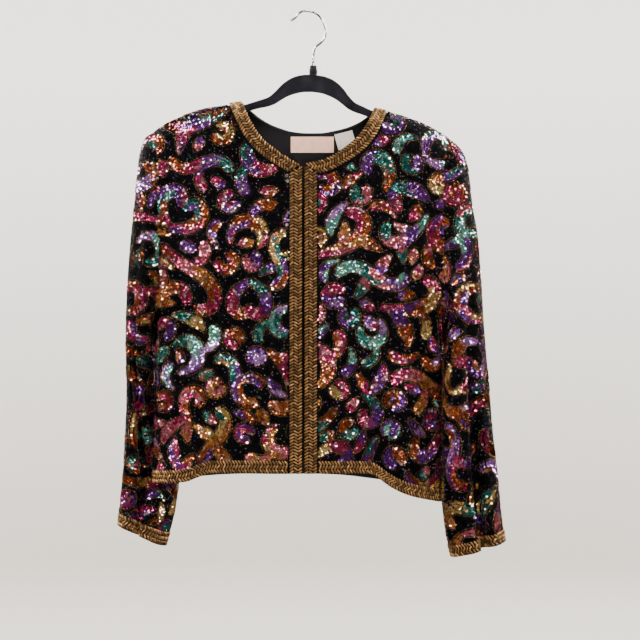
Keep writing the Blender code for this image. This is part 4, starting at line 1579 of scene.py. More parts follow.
@dataclass
class Stroke:
    """A scroll laid on the flat pattern: its centre line, headings and half widths."""

    line: np.ndarray
    heading: np.ndarray
    half: np.ndarray

    @staticmethod
    def lay(scroll: Scroll, place: np.ndarray, turn: float, mirror: float, size: float) -> "Stroke":
        """Lay a scroll on the flat pattern.

        Args:
            scroll: The scroll's shape.
            place: Where it starts, in millimetres.
            turn: The angle that it starts at, in radians.
            mirror: Share of its bend, negative for its mirror image.
            size: Its scale.

        Returns:
            The stroke, with a point about each millimetre.
        """
        count = max(int(scroll.length * size), 4)
        at = np.linspace(0, 1, count)
        knots = np.linspace(0, 1, len(scroll.bends))
        bend = np.radians(np.interp(at, knots, scroll.bends)) * mirror / size
        step = scroll.length * size / (count - 1)
        heading = turn + np.concatenate(([0.0], np.cumsum(bend[:-1] * step)))
        moves = np.stack((np.cos(heading), np.sin(heading)), axis=1) * step
        line = place + np.concatenate((np.zeros((1, 2)), np.cumsum(moves[:-1], axis=0)))
        half = np.interp(at, np.linspace(0, 1, len(scroll.widths)), scroll.widths) * size / 2
        to_end = (np.minimum(at, 1 - at) * (count - 1) + 0.6) * step
        rounded = np.sqrt(np.clip(half**2 - (half - to_end) ** 2, 0, None))
        return Stroke(line, heading, np.where(to_end < half, rounded, half))

    @staticmethod
    def lay_motif(
        motif: Motif, place: np.ndarray, turn: float, mirror: float, size: float
    ) -> list["Stroke"]:
        """Lay a motif's stem and branches, from the stem's start."""
        stem = Stroke.lay(motif.stem, place, turn, mirror, size)
        strokes = [stem]
        for branch in motif.branches:
            n = int(branch.at * (len(stem.line) - 1))
            heading = stem.heading[n] + math.radians(branch.turn) * mirror
            strokes.append(
                Stroke.lay(branch.scroll, stem.line[n], heading, mirror * branch.mirror, size)
            )
        return strokes

    def offset(self, share: np.ndarray | float) -> np.ndarray:
        """Line beside the centre line, at a distance in millimetres."""
        side = np.stack((-np.sin(self.heading), np.cos(self.heading)), axis=1)
        return self.line + side * np.reshape(share, (-1, 1))


class PatternField:
    """How far each place of a flat pattern lies from the strokes laid on it so far."""

    def __init__(self, flat: np.ndarray, cell: float, reach: float, spread: float = 4.5) -> None:
        """Start an empty field.

        Args:
            flat: Flat places of the piece's grid.
            cell: Side of one cell.
            reach: How far around a stroke the field is worked out.
            spread: How far around a grid point the piece is known to reach.
        """
        places = flat.reshape(-1, 2)
        self.low = places.min(axis=0) - reach
        self.cell = cell
        self.reach = reach
        counts = np.ceil((places.max(axis=0) + reach - self.low) / cell).astype(int) + 1
        self.values = np.full(tuple(counts), reach)
        self.inside = np.zeros(tuple(counts), dtype=bool)
        span = int(spread / cell)
        for i, j in ((places - self.low) / cell).astype(int):
            self.inside[max(i - span, 0) : i + span, max(j - span, 0) : j + span] = True

    def free(self, room: float) -> np.ndarray:
        """Places on the piece that lie at least so far from every stroke."""
        return self.low + np.argwhere(self.inside & (self.values >= room)) * self.cell

    def covers(self, places: np.ndarray) -> float:
        """Share of places that lie on the piece."""
        cells = self.cells(places)
        return float(np.mean(self.inside[cells[:, 0], cells[:, 1]]))

    def cells(self, places: np.ndarray) -> np.ndarray:
        """Cells of places, held to the field."""
        cells = np.rint((places - self.low) / self.cell).astype(int)
        return np.clip(cells, 0, np.array(self.values.shape) - 1)

    def add(self, stroke: Stroke) -> None:
        """Mark a stroke on the field."""
        for (x, y), half in zip(stroke.line, stroke.half):
            span = half + self.reach
            a = np.maximum(((np.array((x, y)) - span - self.low) / self.cell).astype(int), 0)
            b = ((np.array((x, y)) + span - self.low) / self.cell).astype(int) + 2
            block = self.values[a[0] : b[0], a[1] : b[1]]
            if block.size == 0:
                continue
            xs = self.low[0] + (a[0] + np.arange(block.shape[0])) * self.cell - x
            ys = self.low[1] + (a[1] + np.arange(block.shape[1])) * self.cell - y
            np.minimum(block, np.hypot(xs[:, None], ys[None]) - half, out=block)

    def read(self, places: np.ndarray) -> np.ndarray:
        """Distance from the strokes' outlines at places, negative inside them."""
        cells = self.cells(places)
        return self.values[cells[:, 0], cells[:, 1]]


class Surface:
    """Way back from a piece's flat pattern to its place in the jacket."""

    STEPS = 6
    CLOSE = 0.4
    LEAST = 1e-6

    def __init__(self, grid: ClothGrid) -> None:
        """Index the flat places of a grid."""
        self.grid = grid
        self.rows, self.columns = grid.points.shape[:2]
        flat = grid.flat.reshape(-1, 2)
        self.low = flat.min(axis=0)
        self.high = flat.max(axis=0)
        self.tree = kdtree.KDTree(len(flat))
        for n, (a, b) in enumerate(flat):
            self.tree.insert((a, b, 0.0), n)
        self.tree.balance()

    def find(self, places: np.ndarray) -> tuple[np.ndarray, np.ndarray, np.ndarray]:
        """Rows and columns of flat places, and which of them lie on the piece.

        Args:
            places: Flat places in millimetres.

        Returns:
            Row, column and whether it lies on the piece, for each place.
        """
        nearest = np.array([self.tree.find((a, b, 0.0))[1] for a, b in places])
        down = (nearest // self.columns).astype(float)
        across = (nearest % self.columns).astype(float)
        flat = self.grid.flat
        for _ in range(self.STEPS):
            here = read_between(flat, down, across)
            i, j = cells(flat, down, across)
            by_row = (flat[i + 1, j] - flat[i, j] + flat[i + 1, j + 1] - flat[i, j + 1]) / 2
            by_column = (flat[i, j + 1] - flat[i, j] + flat[i + 1, j + 1] - flat[i + 1, j]) / 2
            miss = places - here
            spread = flat_cross(by_row, by_column)
            spread = np.where(np.abs(spread) < self.LEAST, self.LEAST, spread)
            row_step = flat_cross(miss, by_column) / spread
            column_step = flat_cross(by_row, miss) / spread
            down = np.clip(down + np.clip(row_step, -2, 2), 0, self.rows - 1)
            across = np.clip(across + np.clip(column_step, -2, 2), 0, self.columns - 1)
        miss = np.linalg.norm(read_between(flat, down, across) - places, axis=1)
        return down, across, miss < self.CLOSE

    def frames(self, down: np.ndarray, across: np.ndarray) -> tuple[np.ndarray, ...]:
        """Point, normal and the two flat directions at rows and columns.

        Args:
            down: Rows.
            across: Columns.

        Returns:
            Points, normals, and unit vectors along the pattern's first and second direction.
        """
        points, flat = self.grid.points, self.grid.flat
        i, j = cells(flat, down, across)
        row_move = points[i + 1, j] - points[i, j]
        column_move = points[i, j + 1] - points[i, j]
        row_flat = flat[i + 1, j] - flat[i, j]
        column_flat = flat[i, j + 1] - flat[i, j]
        spread = flat_cross(row_flat, column_flat)
        spread = np.where(np.abs(spread) < self.LEAST, self.LEAST, spread)[:, None]
        first = (row_move * column_flat[:, 1:] - column_move * row_flat[:, 1:]) / spread
        normal = unit(read_between(self.grid.normals, down, across))
        first = unit(first - normal * np.sum(first * normal, axis=1, keepdims=True))
        second = np.cross(normal, first)
        true_second = (column_move * row_flat[:, :1] - row_move * column_flat[:, :1]) / spread
        second *= np.sign(np.sum(second * true_second, axis=1, keepdims=True) + 1e-12)
        return read_between(points, down, across), normal, first, second


@dataclass
class BeadPlan:
    """Where beads of one kind go on a piece, how they turn and what colour they are."""

    points: list[np.ndarray] = field(default_factory=list)
    turns: list[np.ndarray] = field(default_factory=list)
    tints: list[np.ndarray] = field(default_factory=list)

    def add(
        self, points: np.ndarray, forward: np.ndarray, normal: np.ndarray, tints: np.ndarray
    ) -> None:
        """Add beads.

        Args:
            points: Their middles, in millimetres.
            forward: Unit vectors along them.
            normal: Unit vectors away from the cloth.
            tints: Their colours.
        """
        x = unit(forward - normal * np.sum(forward * normal, axis=1, keepdims=True))
        y = np.cross(normal, x)
        turn = np.stack(
            (
                np.arctan2(y[:, 2], normal[:, 2]),
                -np.arcsin(np.clip(x[:, 2], -1, 1)),
                np.arctan2(x[:, 1], x[:, 0]),
            ),
            axis=1,
        )
        self.points.append(points)
        self.turns.append(turn)
        self.tints.append(tints)

    def seeds(self, name: str) -> Item:
        """Mesh of loose points that carry the beads' turns and colours."""
        points = np.concatenate(self.points) * MM
        data = bpy.data.meshes.new(name)
        data.vertices.add(len(points))
        data.vertices.foreach_set("co", points.ravel())
        turn = data.attributes.new("turn", "FLOAT_VECTOR", "POINT")
        turn.data.foreach_set("vector", np.concatenate(self.turns).ravel())
        tint = data.attributes.new("tint", "FLOAT_COLOR", "POINT")
        colours = np.concatenate(self.tints)
        opaque = np.concatenate((colours, np.ones((len(colours), 1))), axis=1)
        tint.data.foreach_set("color", opaque.ravel())
        return link(name, data)


class BeadTree(NodeWork):
    """Geometry Nodes that set one bead at each point and join the beads into one mesh."""

    def __init__(self) -> None:
        """Build the tree with its named inputs."""
        super().__init__(bpy.data.node_groups.new("Sew on beads", "GeometryNodeTree"))
        inputs = {
            "Places": "NodeSocketGeometry",
            "Bead": "NodeSocketObject",
            "Size": "NodeSocketFloat",
            "Size spread": "NodeSocketFloat",
            "Tilt": "NodeSocketFloat",
            "Finish": "NodeSocketMaterial",
            "Seed": "NodeSocketInt",
        }
        self.keys = {}
        for name, kind in inputs.items():
            socket = self.tree.interface.new_socket(name, in_out="INPUT", socket_type=kind)
            self.keys[name] = socket.identifier
        self.tree.interface.new_socket("Beads", in_out="OUTPUT", socket_type="NodeSocketGeometry")
        given = self.add("NodeGroupInput").outputs
        bead = self.add("GeometryNodeObjectInfo", {"Object": given["Bead"]})
        turn = self.add("GeometryNodeInputNamedAttribute", {"Name": "turn"}, data_type="FLOAT_VECTOR")
        sway = self.add(
            "FunctionNodeRandomValue",
            {"Min": (-1.0, -1.0, -1.0), "Max": (1.0, 1.0, 1.0), "Seed": given["Seed"]},
            data_type="FLOAT_VECTOR",
        )
        sizes = {0: sway.outputs[0], "Scale": given["Tilt"]}
        lean = self.add("ShaderNodeVectorMath", sizes, operation="SCALE")
        upright = self.add("FunctionNodeEulerToRotation", {0: turn.outputs["Attribute"]})
        leaning = self.add("FunctionNodeEulerToRotation", {0: lean.outputs[0]})
        turned = self.add(
            "FunctionNodeRotateRotation",
            {0: upright.outputs[0], 1: leaning.outputs[0]},
            rotation_space="LOCAL",
        )
        low = self.combine(1.0, given["Size spread"], "SUBTRACT")
        high = self.combine(1.0, given["Size spread"], "ADD")
        spread = self.add("FunctionNodeRandomValue", {"Seed": given["Seed"]}, data_type="FLOAT")
        self.feed(spread, 2, low)
        self.feed(spread, 3, high)
        scale = self.combine(spread.outputs[1], given["Size"])
        sewn = self.add(
            "GeometryNodeInstanceOnPoints",
            {
                "Points": given["Places"],
                "Instance": bead.outputs["Geometry"],
                "Rotation": turned.outputs[0],
                "Scale": scale,
            },
        )
        real = self.add("GeometryNodeRealizeInstances", {"Geometry": sewn.outputs["Instances"]})
        dressed = self.add(
            "GeometryNodeSetMaterial",
            {"Geometry": real.outputs["Geometry"], "Material": given["Finish"]},
        )
        result = self.add("NodeGroupOutput")
        self.tree.links.new(dressed.outputs["Geometry"], result.inputs["Beads"])

    def sew(self, name: str, plan: BeadPlan, bead: Item, finish: Material,
            spread: float, tilt: float, seed: int) -> Item:
        """Set a plan's beads and turn them into one plain mesh.

        Args:
            name: Name of the piece.
            plan: Where the beads go.
            bead: The bead that is repeated.
            finish: The beads' material.
            spread: How much their size varies, as a share of it.
            tilt: How far they lean at most, in radians.
            seed: Seed of their leaning and sizes.

        Returns:
            The beads, joined.
        """
        item = plan.seeds(name)
        sewing = item.modifiers.new("Beads", "NODES")
        sewing.node_group = self.tree
        values = {
            "Bead": bead, "Size": 1.0, "Size spread": spread,
            "Tilt": tilt, "Finish": finish, "Seed": seed,
        }
        for key, value in values.items():
            sewing[self.keys[key]] = value
        bpy.context.view_layer.update()
        worn = item.evaluated_get(bpy.context.evaluated_depsgraph_get())
        data = bpy.data.meshes.new_from_object(worn)
        points = item.data
        item.modifiers.clear()
        item.data = data
        data.name = name
        bpy.data.meshes.remove(points)
        data.attributes.remove(data.attributes["turn"])
        return item


class BeadShapes:
    """Single beads and sequins, each lying along X with Z away from the cloth."""

    @staticmethod
    def shape(name: str, points: Sequence[tuple], faces: Sequence[tuple], smooth: bool) -> Item:
        """Small mesh from points in millimetres, which only serves to be repeated."""
        data = bpy.data.meshes.new(name)
        data.from_pydata([tuple(c * MM for c in point) for point in points], [], faces)
        if smooth:
            data.shade_smooth()
        return link(name, data)

    @staticmethod
    def sequin(radius: float = 2.45, cup: float = 0.5, lean: float = 11.0) -> Item:
        """Faceted cup sequin that leans on the next one in its row."""
        tilt = math.radians(lean)
        points = [(cup * math.sin(tilt), 0.0, -cup * math.cos(tilt))]
        for n in range(6):
            angle = math.pi * (n / 3 + 1 / 6)
            x, y = radius * math.cos(angle), radius * math.sin(angle)
            points.append((x * math.cos(tilt), y, -x * math.sin(tilt)))
        faces = [(0, n + 1, (n + 1) % 6 + 1) for n in range(6)]
        return BeadShapes.shape("one_sequin", points, faces, smooth=False)

    @staticmethod
    def seed_bead(radius: float = 1.2, height: float = 0.95) -> Item:
        """Round seed bead."""
        points = [(0.0, 0.0, height), (0.0, 0.0, -height)]
        points += [(radius * cosine, radius * sine, 0.0) for cosine, sine in circle(3)]
        faces = []
        for n in range(3):
            a, b = 2 + n, 2 + (n + 1) % 3
            faces += [(0, a, b), (1, b, a)]
        return BeadShapes.shape("one_seed_bead", points, faces, smooth=True)

    @staticmethod
    def bugle(length: float = 6.2, radius: float = 1.2, sides: int = 5) -> Item:
        """Short bugle bead, thicker in its middle."""
        points = []
        for along, wide in ((-0.5, 0.8), (0.0, 1.0), (0.5, 0.8)):
            for cosine, sine in circle(sides):
                points.append((along * length, radius * wide * cosine, radius * wide * sine))
        faces = [tuple(range(sides))[::-1], tuple(range(2 * sides, 3 * sides))]
        for ring in range(2):
            for n in range(sides):
                a, b = ring * sides + n, ring * sides + (n + 1) % sides
                faces.append((a, b, b + sides, a + sides))
        return BeadShapes.shape("one_bugle", points, faces, smooth=True)


HUE_SKEW = 0.5
HUE_DRIFT = 0.12
SPLIT_SHARE = 0.55
SEQUIN_START = 1.2
SEQUIN_END = 0.6
SEQUIN_DRIFT = 0.25
STAGGER = 1.2
EDGE_ROOM = 0.6
RANK_ROOM = 0.8


@dataclass
class Embroidery:
    """Sequin scrolls, their bead outlines and the black beads between them."""

    sequin_across: float = 4.0
    sequin_along: float = 2.9
    sequin_lift: float = 1.3
    outline_gap: float = 1.1
    outline_pitch: float = 2.1
    bead_pitch: float = 2.6
    bead_lift: float = 0.8
    bands: np.ndarray | None = None
    band_reach: float = 3.4
    shade: float = 0.2
    hue_length: float = 25.0
    # Painted glints: this share of the sequins is blended toward a cream colour that stands in for
    # highlights.
    painted_glint_share: float = 0.16
    painted_glint: tuple = (0.85, 0.66, 0.55)
    # Painted sparkle: this share of the black ground beads is made far lighter, standing in for glints.
    painted_sparkle_share: float = 0.08
    rounds: tuple = (
        (LARGE_MOTIFS, 120, 7.0, 1.7),
        (MIDDLE_MOTIFS, 70, 7.0, 1.6),
        (SMALL_MOTIFS, 70, 6.0, 1.5),
        (FILLERS, 70, 4.5, 1.5),
    )
    tries: int = 40
    least_share: float = 0.5
    cell: float = 0.8
    reach: float = 13.0

    def __post_init__(self) -> None:
        """Index the neck's braid, so that no bead is set under it."""
        self.near = kdtree.KDTree(len(self.bands))
        for n, point in enumerate(self.bands):
            self.near.insert(point, n)
        self.near.balance()

    def scatter(self, field_: PatternField, rng: np.random.Generator) -> Iterable[list[Stroke]]:
        """Scatter motifs over a piece's pattern, the large ones first.

        Args:
            field_: Field of the piece, which is marked by whoever takes a motif.
            rng: Source of the layout.

        Returns:
            The motifs' strokes, one motif after another.
        """
        for motifs, rounds, room, gap in self.rounds:
            for _ in range(rounds):
                places = field_.free(room)
                if len(places) == 0:
                    break
                for _ in range(self.tries):
                    place = places[rng.integers(len(places))]
                    motif = motifs[rng.integers(len(motifs))]
                    turn = rng.uniform(0, 2 * math.pi)
                    mirror = rng.uniform(0.85, 1.15) * (1 if rng.random() < 0.5 else -1)
                    size = rng.uniform(0.86, 1.08)
                    if field_.read(place[None])[0] < room:
                        continue
                    strokes = Stroke.lay_motif(motif, place, turn, mirror, size)
                    line = np.concatenate([stroke.line[::3] for stroke in strokes])
                    half = np.concatenate([stroke.half[::3] for stroke in strokes])
                    if np.any(field_.read(line) < half + gap):
                        continue
                    if field_.covers(line) < self.least_share:
                        continue
                    yield strokes

    def sequins(
        self, stroke: Stroke, hues: Sequence[Hue], rng: np.random.Generator
    ) -> tuple[np.ndarray, ...]:
        """Flat places, headings and colours of a stroke's sequins, rank after rank along it.

        Args:
            stroke: The stroke.
            hues: Its colours, which follow one another along it.
            rng: Source of the small differences.

        Returns:
            Places, headings and colours.
        """
        length = lengths(stroke.line)
        skew = rng.normal(0, HUE_SKEW)
        split = int(rng.random() < SPLIT_SHARE)
        places, headings, tints = [], [], []
        for at in np.arange(SEQUIN_START, length[-1] - SEQUIN_END, self.sequin_along):
            half = np.interp(at, length, stroke.half)
            abreast = max(1, round((2 * half - EDGE_ROOM) / self.sequin_across))
            share = (np.arange(abreast) - (abreast - 1) / 2) / abreast
            drift = rng.normal(0, SEQUIN_DRIFT, (abreast, 2))
            along = at + drift[:, 0] + STAGGER * (np.arange(abreast) % 2)
            off = share * (2 * half - RANK_ROOM) + drift[:, 1]
            line = read_along(stroke.line, length, along)
            heading = np.interp(along, length, stroke.heading)
            side = np.stack((-np.sin(heading), np.cos(heading)), axis=1)
            places.append(line + side * off[:, None])
            headings.append(heading)
            blend = along / length[-1] * len(hues) + skew * share + rng.normal(0, HUE_DRIFT, abreast)
            index = np.clip(blend.astype(int), 0, len(hues) - 1)
            index = np.where(share > 0.05, index + split, index) % len(hues)
            tints.append([hues[n].value for n in index])
        tints = np.concatenate(tints)
        tints = tints * np.exp(rng.normal(0, self.shade, (len(tints), 1)))
        tints = tints * np.exp(rng.normal(0, self.shade / 2, (len(tints), 3)))
        # Painted glints: some sequins are blended toward cream, as highlights painted into their
        # colour.
        painted_glint = rng.random((len(tints), 1)) < self.painted_glint_share
        tints = np.where(painted_glint, tints * 0.7 + np.array(self.painted_glint) * 0.3, tints)
        return np.concatenate(places), np.concatenate(headings), tints

    def outline(self, stroke: Stroke) -> tuple[np.ndarray, np.ndarray]:
        """Flat places and headings of the beads round a stroke."""
        loop = [
            stroke.offset(stroke.half + self.outline_gap),
            stroke.offset(-(stroke.half + self.outline_gap))[::-1],
        ]
        caps = []
        for end, sign in ((-1, 1), (0, -1)):
            radius = stroke.half[end] + self.outline_gap
            angles = stroke.heading[end] + np.linspace(math.pi / 2, -math.pi / 2, 9)[1:-1] * sign
            turn = sign * np.stack((np.cos(angles), np.sin(angles)), axis=1)
            caps.append(stroke.line[end] + turn * radius)
        line = np.concatenate((loop[0], caps[0], loop[1], caps[1][::-1], loop[0][:1]))
        length = lengths(line)
        at = np.arange(0, length[-1], self.outline_pitch)
        places = read_along(line, length, at)
        ahead = np.gradient(places, axis=0)
        return places, np.arctan2(ahead[:, 1], ahead[:, 0])

    def settle(self, surface: Surface, places: np.ndarray, headings: np.ndarray, lift: float,
               limits: tuple[float, float]) -> tuple[np.ndarray, np.ndarray, np.ndarray, np.ndarray]:
        """Take flat places to the jacket, and leave out those off the piece or under braid.

        Args:
            surface: The piece.
            places: Flat places.
            headings: Headings on the pattern.
            lift: Height above the cloth.
            limits: Last row above the hem's braid, and first column beside the front's.

        Returns:
            Points, forward vectors, normals and which places were kept.
        """
        down, across, kept = surface.find(places)
        kept &= down < limits[0]
        kept &= (down < NECK_ROWS * FINE) | (across > limits[1])
        points, normal, first, second = surface.frames(down, across)
        kept &= np.array([self.near.find(point)[2] > self.band_reach for point in points])
        turn = headings[:, None]
        forward = first * np.cos(turn) + second * np.sin(turn)
        return (points + normal * lift)[kept], forward[kept], normal[kept], kept

    def cover(self, surface: Surface, limits: tuple[float, float], rng: np.random.Generator,
              plans: dict[str, BeadPlan]) -> None:
        """Cover one grid of a piece with scrolls and beads.

        Args:
            surface: The grid.
            limits: Last row and first column that braid leaves free.
            rng: Source of the layout.
            plans: Plans for the sequins, the outlines and the ground, which are added to.
        """
        field_ = PatternField(surface.grid.flat, self.cell, self.reach)
        laid, rows = [], []
        for strokes in self.scatter(field_, rng):
            run = HUE_RUNS[rng.integers(len(HUE_RUNS))]
            first = rng.integers(len(run))
            for number, stroke in enumerate(strokes):
                count = max(2, round(len(stroke.line) / self.hue_length))
                hues = [run[(first + number + n) % len(run)] for n in range(count)]
                row = self.sequins(stroke, hues, rng)
                clear = field_.read(row[0]) > -1.0
                rows.append([part[clear] for part in row])
                field_.add(stroke)
                laid.append(stroke)
        places, headings, tints = (np.concatenate([row[n] for row in rows]) for n in range(3))
        points, forward, normal, kept = self.settle(surface, places, headings, self.sequin_lift, limits)
        plans["sequins"].add(points, forward, normal, tints[kept])

        rims = [self.outline(stroke) for stroke in laid]
        places, headings = (np.concatenate([rim[n] for rim in rims]) for n in range(2))
        clear = field_.read(places) > self.outline_gap - 0.9
        places, headings = places[clear], headings[clear]
        points, forward, normal, _ = self.settle(surface, places, headings, self.bead_lift, limits)
        bronze = np.array((0.3, 0.16, 0.07)) * rng.uniform(0.3, 1.3, (len(points), 1))
        plans["outlines"].add(points, forward, normal, bronze)

        xs = np.arange(surface.low[0], surface.high[0], self.bead_pitch)
        ys = np.arange(surface.low[1], surface.high[1], self.bead_pitch * math.sqrt(3) / 2)
        places = np.stack(np.meshgrid(xs, ys), axis=2)
        places[1::2, :, 0] += self.bead_pitch / 2
        places = places.reshape(-1, 2) + rng.uniform(-0.3, 0.3, (places.size // 2, 2))
        places = places[field_.read(places) > self.outline_gap + 1.1]
        headings = rng.uniform(0, math.pi, len(places))
        points, forward, normal, _ = self.settle(surface, places, headings, self.bead_lift, limits)
        black = np.array((0.0011, 0.0008, 0.0013)) * rng.uniform(0.4, 2.0, (len(points), 3))
        # Painted sparkle: a share of the black beads gets a much lighter colour that stands in for
        # glints of the lamps.
        painted_sparkle = rng.random(len(points)) < self.painted_sparkle_share
        black[painted_sparkle] *= rng.uniform(12, 90, (int(painted_sparkle.sum()), 3))
        plans["ground"].add(points, forward, normal, black)


@dataclass
class Braid:
    """Plait of gold bugle beads on a band of tape, in three rows that slant by turns."""

    pitch: float = 4.2
    slant: float = 34.0
    lift: float = 1.7
    columns: tuple = ((1 / 6, -1), (1 / 2, 1), (5 / 6, -1))
    gold: tuple = (0.52, 0.27, 0.095)
    bronze: tuple = (0.09, 0.045, 0.015)
    wander: float = 0.11

    def plan(self, grid: ClothGrid, rng: np.random.Generator) -> BeadPlan:
        """Beads of one band.

        Args:
            grid: The band's grid, with its rows along the band.
            rng: Source of the beads' colours.

        Returns:
            The band's beads.
        """
        plan = BeadPlan()
        rows, columns = grid.points.shape[:2]
        for share, sign in self.columns:
            column = share * (columns - 1)
            line = read_between(grid.points, np.arange(rows, dtype=float), np.full(rows, column))
            length = lengths(line)
            count = max(2, round(length[-1] / self.pitch))
            at = np.interp((np.arange(count) + 0.5) / count * length[-1], length, np.arange(rows))
            across = np.full(count, column)
            points = read_between(grid.points, at, across)
            normal = unit(read_between(grid.normals, at, across))
            ahead = read_between(grid.points, np.minimum(at + 0.5, rows - 1), across)
            ahead = unit(ahead - read_between(grid.points, np.maximum(at - 0.5, 0), across))
            side = np.cross(normal, ahead)
            turn = math.radians(self.slant)
            forward = side * math.cos(turn) + ahead * (math.sin(turn) * sign)
            blend = rng.random((len(at), 1)) ** 1.2
            tints = np.array(self.gold) * blend + np.array(self.bronze) * (1 - blend)
            drift = rng.normal(0, self.wander, (len(at), 2))
            forward = unit(forward + side * drift[:, :1] + ahead * drift[:, 1:])
            plan.add(points + normal * self.lift, forward, normal, tints)
        return plan


@dataclass
class PressStud:
    """Small dark press stud on the right front, in the corner of the neck's braid."""

    place: Place = Place(-29.5, -231.0)
    sides: int = 28
    profile: tuple = (
        (3.2, 0.2), (3.8, 0.9), (3.8, 2.0), (3.3, 2.7), (2.5, 2.9), (1.9, 2.6), (1.5, 1.9),
        (1.0, 2.4), (0.4, 2.6),
    )

    def build(self) -> Item:
        """Turn the stud and set it on the cloth."""
        way = (self.place.x, way_down(self.place.x, self.place.z, FRONT))
        foot, normal = shell_point(*way), shell_normal(*way)
        side = unit(np.cross(normal, (0.0, 0.0, 1.0)))
        rise = np.cross(normal, side)
        rings = []
        for radius, height in self.profile:
            angles = np.linspace(0, 2 * math.pi, self.sides, endpoint=False)[:, None]
            ring = foot + normal * height + radius * (np.cos(angles) * side + np.sin(angles) * rise)
            rings.append([tuple(point) for point in ring])
        metal = PlatedMetal("stud_metal", (0.1, 0.085, 0.09, 1.0)).make()
        return wear(MeshMaker.sweep("neck_stud", rings, [metal]), "beaded_cloth")


TAPE = 0.8
FRONT_TRIM_START = 0.05
HEM_TRIM_START = 1.06
HEM_TRIM_END = 0.15


